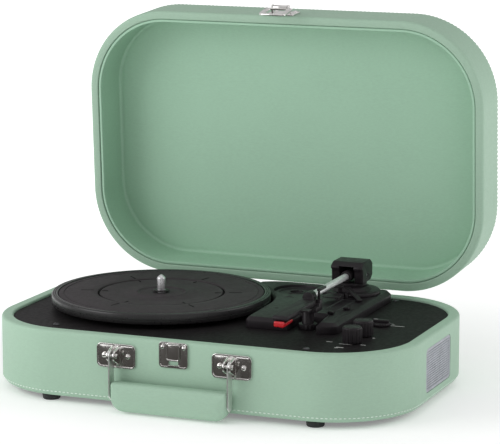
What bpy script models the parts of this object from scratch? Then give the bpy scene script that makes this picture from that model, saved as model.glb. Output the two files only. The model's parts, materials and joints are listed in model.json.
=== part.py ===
"""Suitcase record player, lid open, as separate named pieces.

Units are metres, +Z is up, +X is the player's right and the front faces -Y.
Every piece is laid out in the case's own frame, whose origin is the middle of the
case's underside. One empty, case_origin, then lifts the case onto its feet and
centres the whole open player over the world origin.
Pieces of the lid, the hasp, the handle and the arm hang from empties that sit on
their hinge axes, so each one is modelled with the lid shut and turned into place.
"""
from math import acos, atan2, cos, degrees, pi, radians, sin, sqrt

import bmesh
import bpy
from mathutils import Matrix, Vector

MM = 0.001
GAP = 0.3 * MM               # air left between pieces that touch in the real thing

# ---- driving dimensions ----------------------------------------------------------
CASE_WIDTH = 360 * MM
CASE_DEPTH = 233 * MM
CORNER_RADIUS = 72.5 * MM
BASE_HEIGHT = 54.7 * MM
BASE_WALL = 9.5 * MM
LID_HEIGHT = 46.1 * MM
LID_WALL = 8.8 * MM
LID_TOP = 4.0 * MM
LID_GAP = 0.4 * MM           # between the two rims when the lid is shut
LID_OPEN = 86.8              # degrees
EDGE_ROUNDING = 6 * MM       # on the underside and on the top of the lid
RIM_ROUNDING = 1.4 * MM
FOOT_HEIGHT = 5 * MM
CASE_Y = -17.7 * MM          # centres the open player, handle to lid, over the origin

HALF_X = CASE_WIDTH / 2
HALF_Y = CASE_DEPTH / 2
FRONT = -HALF_Y
BACK = HALF_Y
LID_LOW = BASE_HEIGHT + LID_GAP
LID_HIGH = LID_LOW + LID_HEIGHT
LID_AXIS = Vector((0, BACK + 2.9 * MM, BASE_HEIGHT - 1.2 * MM))

PLINTH_TOP = 52.7 * MM
PLINTH_THICK = 3 * MM
PLINTH_LOW = PLINTH_TOP - PLINTH_THICK

PLATTER = Vector((-66 * MM, 7.4 * MM, 0))
PLATTER_RADIUS = 91.6 * MM
PLATTER_TOP = 65.7 * MM
SPINDLE_RADIUS = 3.6 * MM    # the standard 7.2 mm record spindle
SPINDLE_TOP = 79.7 * MM
BELT_HUB_RADIUS = 47.5 * MM
PULLEY_RADIUS = 4 * MM
MOTOR = PLATTER + Vector((-46 * MM, -46 * MM, 0))

DECK_TOP = 62 * MM
DECK_LOW = PLINTH_TOP + GAP
DECK_SKIN = 2.6 * MM
DECK_RIGHT = 107 * MM
DECK_FRONT = -42 * MM
DECK_BACK = 101 * MM
ADAPTER = Vector((31 * MM, 71 * MM, 0))
ADAPTER_RADIUS = 19 * MM     # the standard 38 mm adapter

ARM = Vector((77.5 * MM, 77 * MM, 0))      # the tone arm's swivel axis
ARM_HEIGHT = 78 * MM
ARM_REACH = 166 * MM         # swivel axis to stylus
TUBE_RADIUS = 2.8 * MM
REST_POST = Vector((78 * MM, -26 * MM, 0))

HANDLE_X = 49.5 * MM
HANDLE_AXIS = Vector((0, FRONT - 8.3 * MM, 40.5 * MM))
HASP_AXIS = Vector((0, FRONT - 6.6 * MM, 58.4 * MM))
HASP_DROOP = 8.5             # degrees, towards the rim, when the lid is open

# ---- colours (linear RGB, roughness, metallic) ------------------------------------
FINISHES = {
    "leatherette": ((0.42, 0.60, 0.47), 0.55, 0.0),
    "lining": ((0.28, 0.43, 0.32), 0.8, 0.0),
    "black_plastic": ((0.018, 0.018, 0.02), 0.4, 0.0),
    "grey_plastic": ((0.33, 0.34, 0.39), 0.5, 0.0),
    "black_rubber": ((0.02, 0.02, 0.02), 0.9, 0.0),
    "chrome": ((0.75, 0.75, 0.76), 0.12, 1.0),
    "aluminium": ((0.7, 0.7, 0.71), 0.3, 1.0),
    "steel": ((0.5, 0.5, 0.52), 0.35, 1.0),
    "black_steel": ((0.08, 0.08, 0.085), 0.35, 1.0),
    "brass": ((0.6, 0.45, 0.2), 0.3, 1.0),
    "red_plastic": ((0.6, 0.02, 0.03), 0.35, 0.0),
    "board": ((0.03, 0.2, 0.08), 0.6, 0.0),
    "card": ((0.05, 0.05, 0.05), 0.9, 0.0),
}


# ---- scene and naming ---------------------------------------------------------------
def start_scene():
    for thing in list(bpy.data.objects):
        bpy.data.objects.remove(thing, do_unlink=True)
    collections = []
    for name in ("suitcase_record_player", "cutters"):
        collection = bpy.data.collections.new(name)
        bpy.context.scene.collection.children.link(collection)
        collections.append(collection)
    return collections


PARTS, CUTTERS = start_scene()


def finish_material(slot):
    material = bpy.data.materials.get(slot)
    if material is None:
        colour, roughness, metallic = FINISHES[slot]
        material = bpy.data.materials.new(slot)
        material.use_nodes = True
        shader = material.node_tree.nodes["Principled BSDF"]
        shader.inputs["Base Color"].default_value = (*colour, 1)
        shader.inputs["Roughness"].default_value = roughness
        shader.inputs["Metallic"].default_value = metallic
        material.diffuse_color = (*colour, 1)
    return material


def new_object(name, mesh, origin, slot):
    """Object with its origin at a point of the case frame; the mesh is in that frame."""
    mesh.transform(Matrix.Translation(-Vector(origin)))
    thing = bpy.data.objects.new(name, mesh)
    thing.location = origin
    if slot is None:
        CUTTERS.objects.link(thing)
        thing.hide_render = True
        thing.display_type = "WIRE"
    else:
        PARTS.objects.link(thing)
        mesh.materials.clear()
        mesh.materials.append(finish_material(slot))
        mesh.shade_smooth()
        mesh.set_sharp_from_angle(angle=radians(35))
    return thing


def bmesh_object(name, shape, origin, slot):
    mesh = bpy.data.meshes.new(name)
    shape.to_mesh(mesh)
    shape.free()
    return new_object(name, mesh, origin, slot)


# ---- outlines -----------------------------------------------------------------------
def arc(cx, cy, radius, start, end, steps):
    """Points of an arc, angles in degrees."""
    points = []
    for step in range(steps + 1):
        angle = radians(start + (end - start) * step / steps)
        points.append((cx + radius * cos(angle), cy + radius * sin(angle)))
    return points


def circle(cx, cy, radius, steps=32):
    return arc(cx, cy, radius, 0, 360, steps)[:-1]


def rounded(left, low, right, high, radii, steps=5):
    """Rectangle with its own radius at each corner: low left, low right, high right, high left."""
    if not isinstance(radii, (tuple, list)):
        radii = (radii,) * 4
    corners = ((left, low, 1, 1, 180), (right, low, -1, 1, 270),
               (right, high, -1, -1, 0), (left, high, 1, -1, 90))
    points = []
    for (x, y, sx, sy, start), radius in zip(corners, radii):
        if radius <= 0:
            points.append((x, y))
        else:
            points += arc(x + sx * radius, y + sy * radius, radius, start, start + 90, steps)
    return points


def case_outline(inset, steps=9):
    """The case's rounded rectangle, drawn in from its outer face."""
    return rounded(-HALF_X + inset, -HALF_Y + inset, HALF_X - inset, HALF_Y - inset,
                   CORNER_RADIUS - inset, steps)


def fluted(radius, flutes, depth):
    """Round outline with shallow scalloped flutes, four points to each."""
    points = []
    for step in range(flutes * 4):
        angle = 2 * pi * step / (flutes * 4)
        r = radius - depth * (1 - cos(flutes * angle)) / 2
        points.append((r * cos(angle), r * sin(angle)))
    return points


# ---- solids -------------------------------------------------------------------------
# Each plane maps a drawing's x, y and thickness onto the case frame.
PLANES = {
    "XY": Matrix(((1, 0, 0), (0, 1, 0), (0, 0, 1))),
    "XZ": Matrix(((1, 0, 0), (0, 0, -1), (0, 1, 0))),
    "YZ": Matrix(((0, 0, 1), (1, 0, 0), (0, 1, 0))),
}


def slab(name, loops, low, high, slot, plane="XY", origin=None):
    """Flat outline, holes included, made solid between two levels of its plane's normal.

    In the XZ plane the levels are values of y, in the YZ plane values of x.
    """
    curve = bpy.data.curves.new(name, "CURVE")
    curve.dimensions = "2D"
    curve.fill_mode = "BOTH"
    curve.extrude = (high - low) / 2
    for points in loops:
        spline = curve.splines.new("POLY")
        spline.points.add(len(points) - 1)
        for point, (x, y) in zip(spline.points, points):
            point.co = (x, y, 0, 1)
        spline.use_cyclic_u = True
    drawing = bpy.data.objects.new(name + "_drawing", curve)
    CUTTERS.objects.link(drawing)
    depsgraph = bpy.context.evaluated_depsgraph_get()
    solid = bpy.data.meshes.new_from_object(drawing.evaluated_get(depsgraph))
    bpy.data.objects.remove(drawing, do_unlink=True)
    shape = bmesh.new()
    shape.from_mesh(solid)
    bmesh.ops.remove_doubles(shape, verts=shape.verts, dist=1e-6)
    bmesh.ops.dissolve_limit(shape, angle_limit=radians(0.5), verts=shape.verts, edges=shape.edges)
    shape.transform(PLANES[plane].to_4x4())
    middle = (low + high) / 2
    if plane == "XZ":
        middle = -middle
    shape.transform(Matrix.Translation(PLANES[plane] @ Vector((0, 0, middle))))
    bmesh.ops.recalc_face_normals(shape, faces=shape.faces)
    if shape.calc_volume(signed=True) < 0:
        bmesh.ops.reverse_faces(shape, faces=shape.faces)
    if origin is None:
        xs, ys, zs = zip(*[v.co for v in shape.verts])
        origin = Vector([(min(c) + max(c)) / 2 for c in (xs, ys, zs)])
    return bmesh_object(name, shape, origin, slot)


def box(name, low, high, slot, origin=None):
    shape = bmesh.new()
    bmesh.ops.create_cube(shape, size=1)
    low, high = Vector(low), Vector(high)
    centre = (low + high) / 2
    bmesh.ops.scale(shape, vec=high - low, verts=shape.verts)
    bmesh.ops.translate(shape, vec=centre, verts=shape.verts)
    return bmesh_object(name, shape, centre if origin is None else origin, slot)


AXES = {
    "X": Matrix.Rotation(radians(90), 4, "Y"),
    "Y": Matrix.Rotation(radians(90), 4, "X"),
    "Z": Matrix.Identity(4),
}


def rod(name, centre, radius, length, slot, axis="Z", sides=24, tip_radius=None):
    """Cylinder or cone about its centre; tip_radius is at the far end of the axis."""
    shape = bmesh.new()
    bmesh.ops.create_cone(shape, cap_ends=True, segments=sides, radius1=radius,
                          radius2=radius if tip_radius is None else tip_radius, depth=length)
    shape.transform(Matrix.Translation(centre) @ AXES[axis])
    return bmesh_object(name, shape, centre, slot)


def turned(name, centre, profile, slot, steps=48, closed=False, axis="Z"):
    """Profile of (radius, height) points, top to bottom down its outer side, turned about an axis."""
    shape = bmesh.new()
    points = [shape.verts.new((r, 0, z)) for r, z in profile]
    for a, b in zip(points, points[1:]):
        shape.edges.new((a, b))
    if closed:
        shape.edges.new((points[-1], points[0]))
    thing = bmesh_object(name, shape, (0, 0, 0), slot)
    screw = thing.modifiers.new("Screw", "SCREW")
    screw.steps = steps
    screw.render_steps = steps
    screw.use_merge_vertices = True
    screw.merge_threshold = 0.00001
    thing.rotation_euler = AXES[axis].to_euler()
    thing.location = centre
    return thing


def edge_weights(thing, rule):
    """Bevel weight of each edge, from a rule on its two end points in the case frame."""
    mesh = thing.data
    weights = mesh.attributes.new("bevel_weight_edge", "FLOAT", "EDGE")
    for edge in mesh.edges:
        a, b = (mesh.vertices[i].co + thing.location for i in edge.vertices)
        weights.data[edge.index].value = rule(a, b)


def bevel(thing, width, segments=2, weighted=False):
    modifier = thing.modifiers.new("Bevel", "BEVEL")
    modifier.width = width
    modifier.segments = segments
    modifier.limit_method = "WEIGHT" if weighted else "ANGLE"
    modifier.angle_limit = radians(40)
    return thing


def level_edges(*levels):
    """Rule that gives each horizontal edge at one of the listed heights its weight."""
    def rule(a, b):
        for height, weight in levels:
            if abs(a.z - height) < 1e-5 and abs(b.z - height) < 1e-5:
                return weight
        return 0.0
    return rule


def combine(target, other, operation):
    modifier = target.modifiers.new(operation.title(), "BOOLEAN")
    modifier.operation = operation
    modifier.object = other
    other.parent = target
    other.matrix_parent_inverse = Matrix.Translation(-target.location)


def cut(target, *cutters):
    for cutter in cutters:
        combine(target, cutter, "DIFFERENCE")


def join(target, *additions):
    for addition in additions:
        combine(target, addition, "UNION")


# ---- axes -------------------------------------------------------------------------
class Axis:
    """An empty on a joint's axis. Pieces and other axes hang from it."""

    def __init__(self, name, place, parent=None):
        self.place = Vector(place)
        self.empty = bpy.data.objects.new(name, None)
        self.empty.empty_display_size = 0.02
        PARTS.objects.link(self.empty)
        self.empty.location = self.place
        if parent is not None:
            parent.hang(self.empty)

    def hang(self, *things):
        for thing in things:
            thing.parent = self.empty
            thing.matrix_parent_inverse = Matrix.Translation(-self.place)

    def turn(self, degrees_x):
        self.empty.rotation_euler.x = radians(degrees_x)


# ---- case ---------------------------------------------------------------------------
GRILLE_WIDTH = 62 * MM
GRILLE_HEIGHT = 35.5 * MM
GRILLE_Z = 27.4 * MM
GRILLE_THICK = 1.2 * MM
JACK_X = (-62 * MM, -22 * MM)
JACK_Z = 27 * MM
# name, x, barrel radius, bore radius, reach either side of the panel
JACKS = (
    ("phono_socket_left", -54 * MM, 4.1 * MM, 1.5 * MM, 7 * MM),
    ("phono_socket_right", -43 * MM, 4.1 * MM, 1.5 * MM, 7 * MM),
    ("power_inlet", -30 * MM, 4.6 * MM, 3.2 * MM, 3.2 * MM),
)


def grille_loop(margin):
    half_y = GRILLE_WIDTH / 2 + margin
    half_z = GRILLE_HEIGHT / 2 + margin
    return rounded(-half_y, GRILLE_Z - half_z, half_y, GRILLE_Z + half_z, 4 * MM + margin, 4)


def lower_case():
    """Wooden wall of the base, wrapped in leatherette, open above and below."""
    case = slab("lower_case", [case_outline(0), case_outline(BASE_WALL)], 0, BASE_HEIGHT, "leatherette")

    def rule(a, b):
        reach = max(abs(a.x) - HALF_X, abs(a.y) - HALF_Y)
        near_outside = outer_distance(a) < 1 * MM and outer_distance(b) < 1 * MM
        if abs(a.z - b.z) > 1e-5 or reach > 1 * MM:
            return 0.0
        if abs(a.z) < 1e-5:
            return 1.0 if near_outside else 0.0
        return RIM_ROUNDING / EDGE_ROUNDING
    edge_weights(case, rule)
    bevel(case, EDGE_ROUNDING, 3, weighted=True)
    for side, name in ((-1, "left"), (1, "right")):
        seat = side * (HALF_X - GRILLE_THICK - GAP)
        outside = side * (HALF_X + 4 * MM)
        inside = side * (HALF_X - BASE_WALL - 4 * MM)
        rebate = slab("grille_rebate_" + name, [grille_loop(GAP)], min(seat, outside), max(seat, outside),
                      None, "YZ")
        throat = slab("speaker_throat_" + name, [grille_loop(-3 * MM)], min(inside, outside),
                      max(inside, outside), None, "YZ")
        cut(case, rebate, throat)
    cut(case, slab("jack_window", [rounded(JACK_X[0], JACK_Z - 9 * MM, JACK_X[1], JACK_Z + 9 * MM, 2 * MM, 3)],
                   BACK - BASE_WALL - 4 * MM, BACK + 4 * MM, None, "XZ"))
    return case


def outer_distance(point):
    """How far a point lies inside the case's outline."""
    dx = abs(point.x) - (HALF_X - CORNER_RADIUS)
    dy = abs(point.y) - (HALF_Y - CORNER_RADIUS)
    if dx > 0 and dy > 0:
        return CORNER_RADIUS - sqrt(dx * dx + dy * dy)
    return min(HALF_X - abs(point.x), HALF_Y - abs(point.y))


def base_fittings():
    pieces = [slab("bottom_panel", [case_outline(BASE_WALL + GAP)], 0.5 * MM, 4 * MM, "card")]
    for fx, x_name in ((-1, "left"), (1, "right")):
        for fy, y_name in ((-1, "front"), (1, "back")):
            place = Vector((fx * 114 * MM, fy * 103.5 * MM, -(FOOT_HEIGHT + GAP) / 2))
            pieces.append(rod("foot_%s_%s" % (y_name, x_name), place, 7 * MM, FOOT_HEIGHT - GAP,
                              "black_rubber", sides=24, tip_radius=7.6 * MM))
    for side, name in ((-1, "left"), (1, "right")):
        outer = side * (HALF_X - 0.1 * MM)
        inner = side * (HALF_X - GRILLE_THICK)
        pieces.append(slab("grille_" + name, [grille_loop(0)], min(outer, inner), max(outer, inner),
                           "grey_plastic", "YZ"))
        pieces.append(speaker("speaker_" + name, side))
    return pieces


def speaker(name, side):
    """Small round driver facing outwards behind its grille: basket, cone dish and magnet."""
    profile = [(0, 0.2), (4, 1.2), (6, -1.6), (16.5, 3.6), (17.5, 4.6), (20.5, 4.6), (20.5, 3.2), (18.5, 3.0),
               (12.5, -9.0), (12.5, -17.0), (0, -17.0)]
    front = Vector((side * (HALF_X - BASE_WALL - 5.2 * MM), 0, GRILLE_Z))
    driver = turned(name, front, [(r * MM, z * MM) for r, z in profile], "card", 28, axis="X")
    if side < 0:
        driver.rotation_euler = Matrix.Rotation(radians(-90), 4, "Y").to_euler()
    return driver


def electronics():
    board_low = 14 * MM
    board = box("circuit_board", (20 * MM, 30 * MM, board_low), (105 * MM, 88 * MM, board_low + 1.6 * MM), "board")
    face = BACK - 1 * MM
    panel = slab("jack_panel", [rounded(JACK_X[0] + GAP, JACK_Z - 9 * MM + GAP, JACK_X[1] - GAP,
                                        JACK_Z + 9 * MM - GAP, 1.7 * MM, 3)], face - 2 * MM, face,
                 "black_plastic", "XZ")
    for name, x, radius, bore, reach in JACKS:
        place = Vector((x, face - 2 * MM, JACK_Z))
        join(panel, rod(name, place, radius, 2 * reach, None, axis="Y", sides=20))
        hole = rod(name + "_bore", place + Vector((0, reach, 0)), bore, reach + 5 * MM, None, axis="Y", sides=14)
        cut(panel, hole)
    return [board, panel]


# ---- plinth and drive ------------------------------------------------------------------
KNOBS = {
    "volume": Vector((128 * MM, -60 * MM, 0)),
    "pitch": Vector((128 * MM, -34 * MM, 0)),
    "function": Vector((129 * MM, 6 * MM, 0)),
}
KNOB_RADIUS = 8 * MM
KNOB_TOP = 66 * MM
SHAFT_RADIUS = 3 * MM
SCREWS = ((-116, -89), (102, -93), (109.5, 100))


def plinth():
    holes = [circle(PLATTER.x, PLATTER.y, 5.3 * MM, 20), circle(MOTOR.x, MOTOR.y, 8 * MM, 24),
             circle(ARM.x, ARM.y, 7 * MM, 20)]
    holes += [circle(place.x, place.y, SHAFT_RADIUS + 0.6 * MM, 20) for place in KNOBS.values()]
    holes += [circle(x * MM, y * MM, 1.6 * MM, 12) for x, y in SCREWS]
    plate = slab("plinth_plate", [case_outline(BASE_WALL + GAP)] + holes, PLINTH_LOW, PLINTH_TOP, "black_plastic")
    screws = []
    for number, (x, y) in enumerate(SCREWS, 1):
        profile = [(0, 1.5), (1.6, 1.3), (2.9, 0.3), (1.3, 0.3), (1.3, -8), (0, -9)]
        screws.append(turned("plinth_screw_%d" % number, Vector((x * MM, y * MM, PLINTH_TOP)),
                             [(r * MM, z * MM) for r, z in profile], "black_steel", 14))
    return [plate] + screws


def belt_path(radius_hub, radius_pulley, steps=40):
    """Outline of a band pulled round the platter's hub and the motor's pulley."""
    away = MOTOR - PLATTER
    distance = away.length
    heading = degrees(atan2(away.y, away.x))
    spread = degrees(acos((radius_hub - radius_pulley) / distance))
    points = arc(PLATTER.x, PLATTER.y, radius_hub, heading + spread, heading - spread + 360, steps)
    return points + arc(MOTOR.x, MOTOR.y, radius_pulley, heading - spread, heading + spread, 8)


def drive():
    spindle = turned("spindle", PLATTER, [(0, SPINDLE_TOP), (1.1 * MM, SPINDLE_TOP - 0.4 * MM),
                                          (2.9 * MM, SPINDLE_TOP - 3.8 * MM), (SPINDLE_RADIUS, SPINDLE_TOP - 5 * MM),
                                          (SPINDLE_RADIUS, PLINTH_TOP + 1.6 * MM), (8 * MM, PLINTH_TOP + 1.6 * MM),
                                          (8 * MM, DECK_LOW), (5 * MM, DECK_LOW), (5 * MM, PLINTH_LOW - 4 * MM),
                                          (0, PLINTH_LOW - 4 * MM)], "chrome", 32)
    clip = turned("spindle_clip", PLATTER, [(3.8 * MM, 66.8 * MM), (6.4 * MM, 66.8 * MM), (6.8 * MM, 66.4 * MM),
                                            (6.8 * MM, 66.0 * MM), (3.8 * MM, 66.0 * MM)],
                  "black_plastic", 28, closed=True)
    platter = turned("platter", PLATTER, [(r * MM, z * MM) for r, z in
                                          [(3.85, 63.4), (86.6, 63.4), (86.6, 65.2), (87.4, 65.7), (90.3, 65.7),
                                           (91.3, 65.2), (91.6, 64.4), (91.6, 57.6), (91.0, 57.0), (88.8, 57.0),
                                           (88.8, 61.0), (47.5, 61.0), (47.5, 55.4), (44.5, 55.4), (44.5, 61.0),
                                           (9.5, 61.0), (9.5, 54.8), (3.85, 54.8)]],
                     "black_plastic", 64, closed=True)
    mat = turned("platter_mat", PLATTER, [(r * MM, z * MM) for r, z in
                                          [(4.2, 64.6), (18.6, 64.6), (19.8, 65.3), (21.4, 65.3), (22.4, 64.9),
                                           (52.4, 64.9), (53.4, 64.5), (55.2, 64.5), (56.2, 65.2), (85.4, 65.2),
                                           (86.2, 64.7), (86.2, 63.7), (4.2, 63.7)]],
                  "black_rubber", 64, closed=True)
    belt = slab("drive_belt", [belt_path(BELT_HUB_RADIUS + 1.0 * MM, PULLEY_RADIUS + 1.0 * MM),
                               belt_path(BELT_HUB_RADIUS + 0.35 * MM, PULLEY_RADIUS + 0.35 * MM)],
                56.3 * MM, 59.6 * MM, "black_rubber")
    motor = turned("motor", MOTOR, [(r * MM, z * MM) for r, z in
                                    [(0, 40.5), (1.6, 40.5), (1.6, 48.9), (19, 48.9), (19, 47.2), (16, 47.0),
                                     (16, 27), (14.5, 25.8), (0, 25.8)]], "steel", 28)
    pulley = turned("motor_pulley", MOTOR, [(r * MM, z * MM) for r, z in
                                            [(0, 60.6), (5.3, 60.6), (5.3, 60.1), (4.0, 59.8), (4.0, 56.1),
                                             (5.3, 55.8), (5.3, 54.6), (1.2, 54.6), (1.2, 41.0), (0, 41.0)]],
                    "brass", 24)
    return [spindle, clip, belt, motor], [platter, mat], [pulley]


def control_knob(name, place):
    """Tall fluted push-on knob with its shaft."""
    outline = [(place.x + x, place.y + y) for x, y in fluted(KNOB_RADIUS, 16, 0.7 * MM)]
    knob = slab(name, [outline], DECK_LOW + 0.3 * MM, KNOB_TOP, "black_plastic", origin=place)
    edge_weights(knob, level_edges((KNOB_TOP, 1.0)))
    bevel(knob, 0.6 * MM, 1, weighted=True)
    shaft_low = 38 * MM
    shaft_high = DECK_LOW + 3 * MM
    shaft = rod(name + "_shaft", place + Vector((0, 0, (shaft_low + shaft_high) / 2)), SHAFT_RADIUS,
                shaft_high - shaft_low, None, sides=16)
    join(knob, shaft)
    return knob


def potentiometer(name, place):
    bore = SHAFT_RADIUS + 0.35 * MM
    return turned(name, place, [(bore, 49.3 * MM), (5 * MM, 49.3 * MM), (5 * MM, 45 * MM), (8.4 * MM, 45 * MM),
                                (8.4 * MM, 37 * MM), (bore, 37 * MM)], "steel", 20, closed=True)


def controls():
    volume = control_knob("volume_knob", KNOBS["volume"])
    pitch = control_knob("pitch_knob", KNOBS["pitch"])
    place = KNOBS["function"]
    dial_low = DECK_LOW + 0.3 * MM
    function = rod("function_knob", place + Vector((0, 0, dial_low + 1.1 * MM)), 7.6 * MM, 2.2 * MM,
                   "black_plastic", sides=32, tip_radius=7.2 * MM)
    grip = slab("function_grip", [rounded(place.x - 6.6 * MM, place.y - 2 * MM, place.x + 6.6 * MM,
                                          place.y + 2 * MM, 1.8 * MM, 4)],
                dial_low + 1 * MM, dial_low + 4.6 * MM, None)
    shaft = rod("function_shaft", place + Vector((0, 0, 46 * MM)), SHAFT_RADIUS, 16 * MM, None, sides=16)
    join(function, grip, shaft)
    pots = [potentiometer(name + "_potentiometer", KNOBS[name]) for name in ("volume", "pitch", "function")]
    return volume, pitch, function, pots


# ---- tone arm deck ------------------------------------------------------------------
SPEED_SLOT = Vector((91 * MM, -6 * MM, 0))
STOP_SLOT = Vector((97 * MM, 14 * MM, 0))
SLOT_HALF = (1.2 * MM, 4.4 * MM)
SWITCH_TRAVEL = 3 * MM
CUE_POST = Vector((77.5 * MM, 50.4 * MM, 0))
CUE_PIVOT = Vector((88 * MM, 50.3 * MM, 65.4 * MM))
CLEAR_OF_PLATTER = 93.5 * MM


def deck_outline():
    """Raised deck beside the platter: hollowed to the platter's edge, notched for the arm rest."""
    reach = CLEAR_OF_PLATTER
    tip = degrees(atan2(84 * MM - PLATTER.y, sqrt(reach ** 2 - (84 * MM - PLATTER.y) ** 2)))
    points = [(66 * MM, DECK_FRONT), (66 * MM, -10 * MM), (87 * MM, -10 * MM), (91 * MM, DECK_FRONT)]
    points += arc(DECK_RIGHT - 8 * MM, DECK_FRONT + 8 * MM, 8 * MM, 270, 360, 5)
    points += arc(DECK_RIGHT - 8 * MM, DECK_BACK - 8 * MM, 8 * MM, 0, 90, 5)
    points += arc(14 * MM, DECK_BACK - 40 * MM, 40 * MM, 90, 128, 4)
    points += arc(PLATTER.x, PLATTER.y, reach, tip, 0, 12)
    points += arc(34 * MM, DECK_FRONT + 5 * MM, 5 * MM, 180, 270, 4)
    return points


def tonearm_deck():
    deck = slab("tonearm_deck", [deck_outline()], DECK_LOW, DECK_TOP, "black_plastic")
    edge_weights(deck, level_edges((DECK_TOP, 1.0)))
    bevel(deck, 3 * MM, 1, weighted=True)
    inner = CLEAR_OF_PLATTER + 4 * MM
    pocket = [(36 * MM, -6 * MM), (DECK_RIGHT - 4 * MM, -6 * MM), (DECK_RIGHT - 4 * MM, DECK_BACK - 4 * MM),
              (12 * MM, DECK_BACK - 4 * MM)] + arc(PLATTER.x, PLATTER.y, inner, 50, 4, 8)
    ceiling = DECK_TOP - DECK_SKIN
    cup_floor = DECK_TOP - 6.6 * MM
    cut(deck, slab("deck_pocket", [pocket], PLINTH_LOW, ceiling, None))
    boss_middle = (DECK_LOW + 0.2 * MM + ceiling + 1 * MM) / 2
    boss_length = ceiling + 1 * MM - DECK_LOW - 0.2 * MM
    join(deck, rod("adapter_cup", Vector((ADAPTER.x, ADAPTER.y, boss_middle)), ADAPTER_RADIUS + 2.6 * MM,
                   boss_length, None, sides=40),
         rod("turret_boss", Vector((ARM.x, ARM.y, boss_middle)), 11 * MM, boss_length, None, sides=28))
    join(deck, slab("cue_collar", [[(CUE_POST.x + x, CUE_POST.y + y) for x, y in fluted(5 * MM, 10, 0.5 * MM)]],
                    DECK_TOP - 1 * MM, DECK_TOP + 5 * MM, None))
    cut(deck,
        rod("adapter_well", ADAPTER + Vector((0, 0, cup_floor + 10 * MM)), ADAPTER_RADIUS + 0.6 * MM, 20 * MM,
            None, sides=40),
        rod("turret_bore", ARM + Vector((0, 0, DECK_TOP)), 6.6 * MM, 40 * MM, None, sides=24),
        rod("cue_bore", CUE_POST + Vector((0, 0, DECK_TOP)), 2.2 * MM, 40 * MM, None, sides=16))
    for name, place in (("speed_slot", SPEED_SLOT), ("stop_slot", STOP_SLOT)):
        cut(deck, box(name, (place.x - SLOT_HALF[0], place.y - SLOT_HALF[1], ceiling - 6 * MM),
                      (place.x + SLOT_HALF[0], place.y + SLOT_HALF[1], DECK_TOP + 3 * MM), None))
    return deck


def slide_switch(name, place):
    """Small thumb slider whose tongue runs in a slot of the deck."""
    near = place.y - SLOT_HALF[1] + 0.3 * MM
    thumb = box(name, (place.x - 2.4 * MM, near - 0.2 * MM, DECK_TOP + GAP),
                (place.x + 2.4 * MM, near + 5 * MM, DECK_TOP + 2.6 * MM), "black_plastic")
    bevel(thumb, 0.4 * MM, 1)
    tongue = box(name + "_tongue", (place.x - 0.9 * MM, near + 0.2 * MM, DECK_TOP - 5 * MM),
                 (place.x + 0.9 * MM, near + 4.6 * MM, DECK_TOP + 1 * MM), None)
    join(thumb, tongue)
    return thumb


def adapter():
    floor = DECK_TOP - 6.6 * MM + GAP
    return turned("adapter_45", ADAPTER + Vector((0, 0, floor)),
                  [(r * MM, z * MM) for r, z in
                   [(3.75, 3.0), (5.6, 3.0), (5.6, 4.4), (7.2, 4.6), (8.4, 3.4), (14.6, 3.4), (15.6, 4.6),
                    (18.2, 4.6), (19.0, 3.9), (19.0, 0), (3.75, 0)]],
                  "black_plastic", 40, closed=True)


# ---- tone arm -------------------------------------------------------------------------
HOUSING_HALF_X = 13.9 * MM
HOUSING_Y = (65.5 * MM, 92 * MM)
HOUSING_Z = (71.6 * MM, 89.8 * MM)
PIVOT = Vector((ARM.x, 78 * MM, ARM_HEIGHT))


def arm_base():
    """Turret that carries the swivel: a round flange on the deck, notched for the lift's collar."""
    base = turned("tonearm_base", ARM + Vector((0, 0, 0)),
                  [(r * MM, z * MM) for r, z in
                   [(6.3, 69.0), (14, 69.0), (16.2, 67.8), (17.6, 65.6), (23.2, 65.4), (24.3, 64.5), (24.4, 63.6),
                    (24.4, 62.3), (6.3, 62.3)]], "black_plastic", 48, closed=True)
    cut(base, rod("collar_notch", CUE_POST + Vector((0, 0, DECK_TOP)), 5.6 * MM, 20 * MM, None, sides=28))
    return base


def housing():
    """Gimbal housing on its turning column, with the cross pin that the tube rocks on."""
    front, rear = HOUSING_Y
    low, high = HOUSING_Z
    side = [(front + 1.5 * MM, low), (front + 0.6 * MM, high - 7 * MM), (front - 1.6 * MM, high - 6.2 * MM),
            (front - 1.2 * MM, high - 3 * MM), (front + 3.4 * MM, high), (rear - 4 * MM, high),
            (rear, high - 3.6 * MM), (rear, low + 4 * MM), (rear - 5 * MM, low)]
    body = slab("tonearm_housing", [side], ARM.x - HOUSING_HALF_X, ARM.x + HOUSING_HALF_X,
                "black_plastic", "YZ", origin=PIVOT)
    bevel(body, 1.3 * MM, 1)
    window_half = 6.6 * MM
    cut(body, box("housing_window", (ARM.x - window_half, front - 5 * MM, low - 5 * MM),
                  (ARM.x + window_half, rear - 1.8 * MM, high - 3.4 * MM), None))
    column = turned("housing_column", ARM,
                    [(r * MM, z * MM) for r, z in
                     [(0, 72.0), (12.8, 72.0), (13.2, 71.6), (13.2, 69.4), (5.8, 69.4), (5.8, 56.0), (0, 56.0)]],
                    None, 36)
    join(body, column)
    column.matrix_parent_inverse = Matrix.Translation(-body.location)
    cut(body, rod("housing_bore", PIVOT, 1.75 * MM, 60 * MM, None, axis="X", sides=16))
    pin = rod("tonearm_pivot_pin", PIVOT, 1.45 * MM, 2 * HOUSING_HALF_X - 1 * MM, "steel", axis="X", sides=16)
    return [body, pin]


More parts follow.
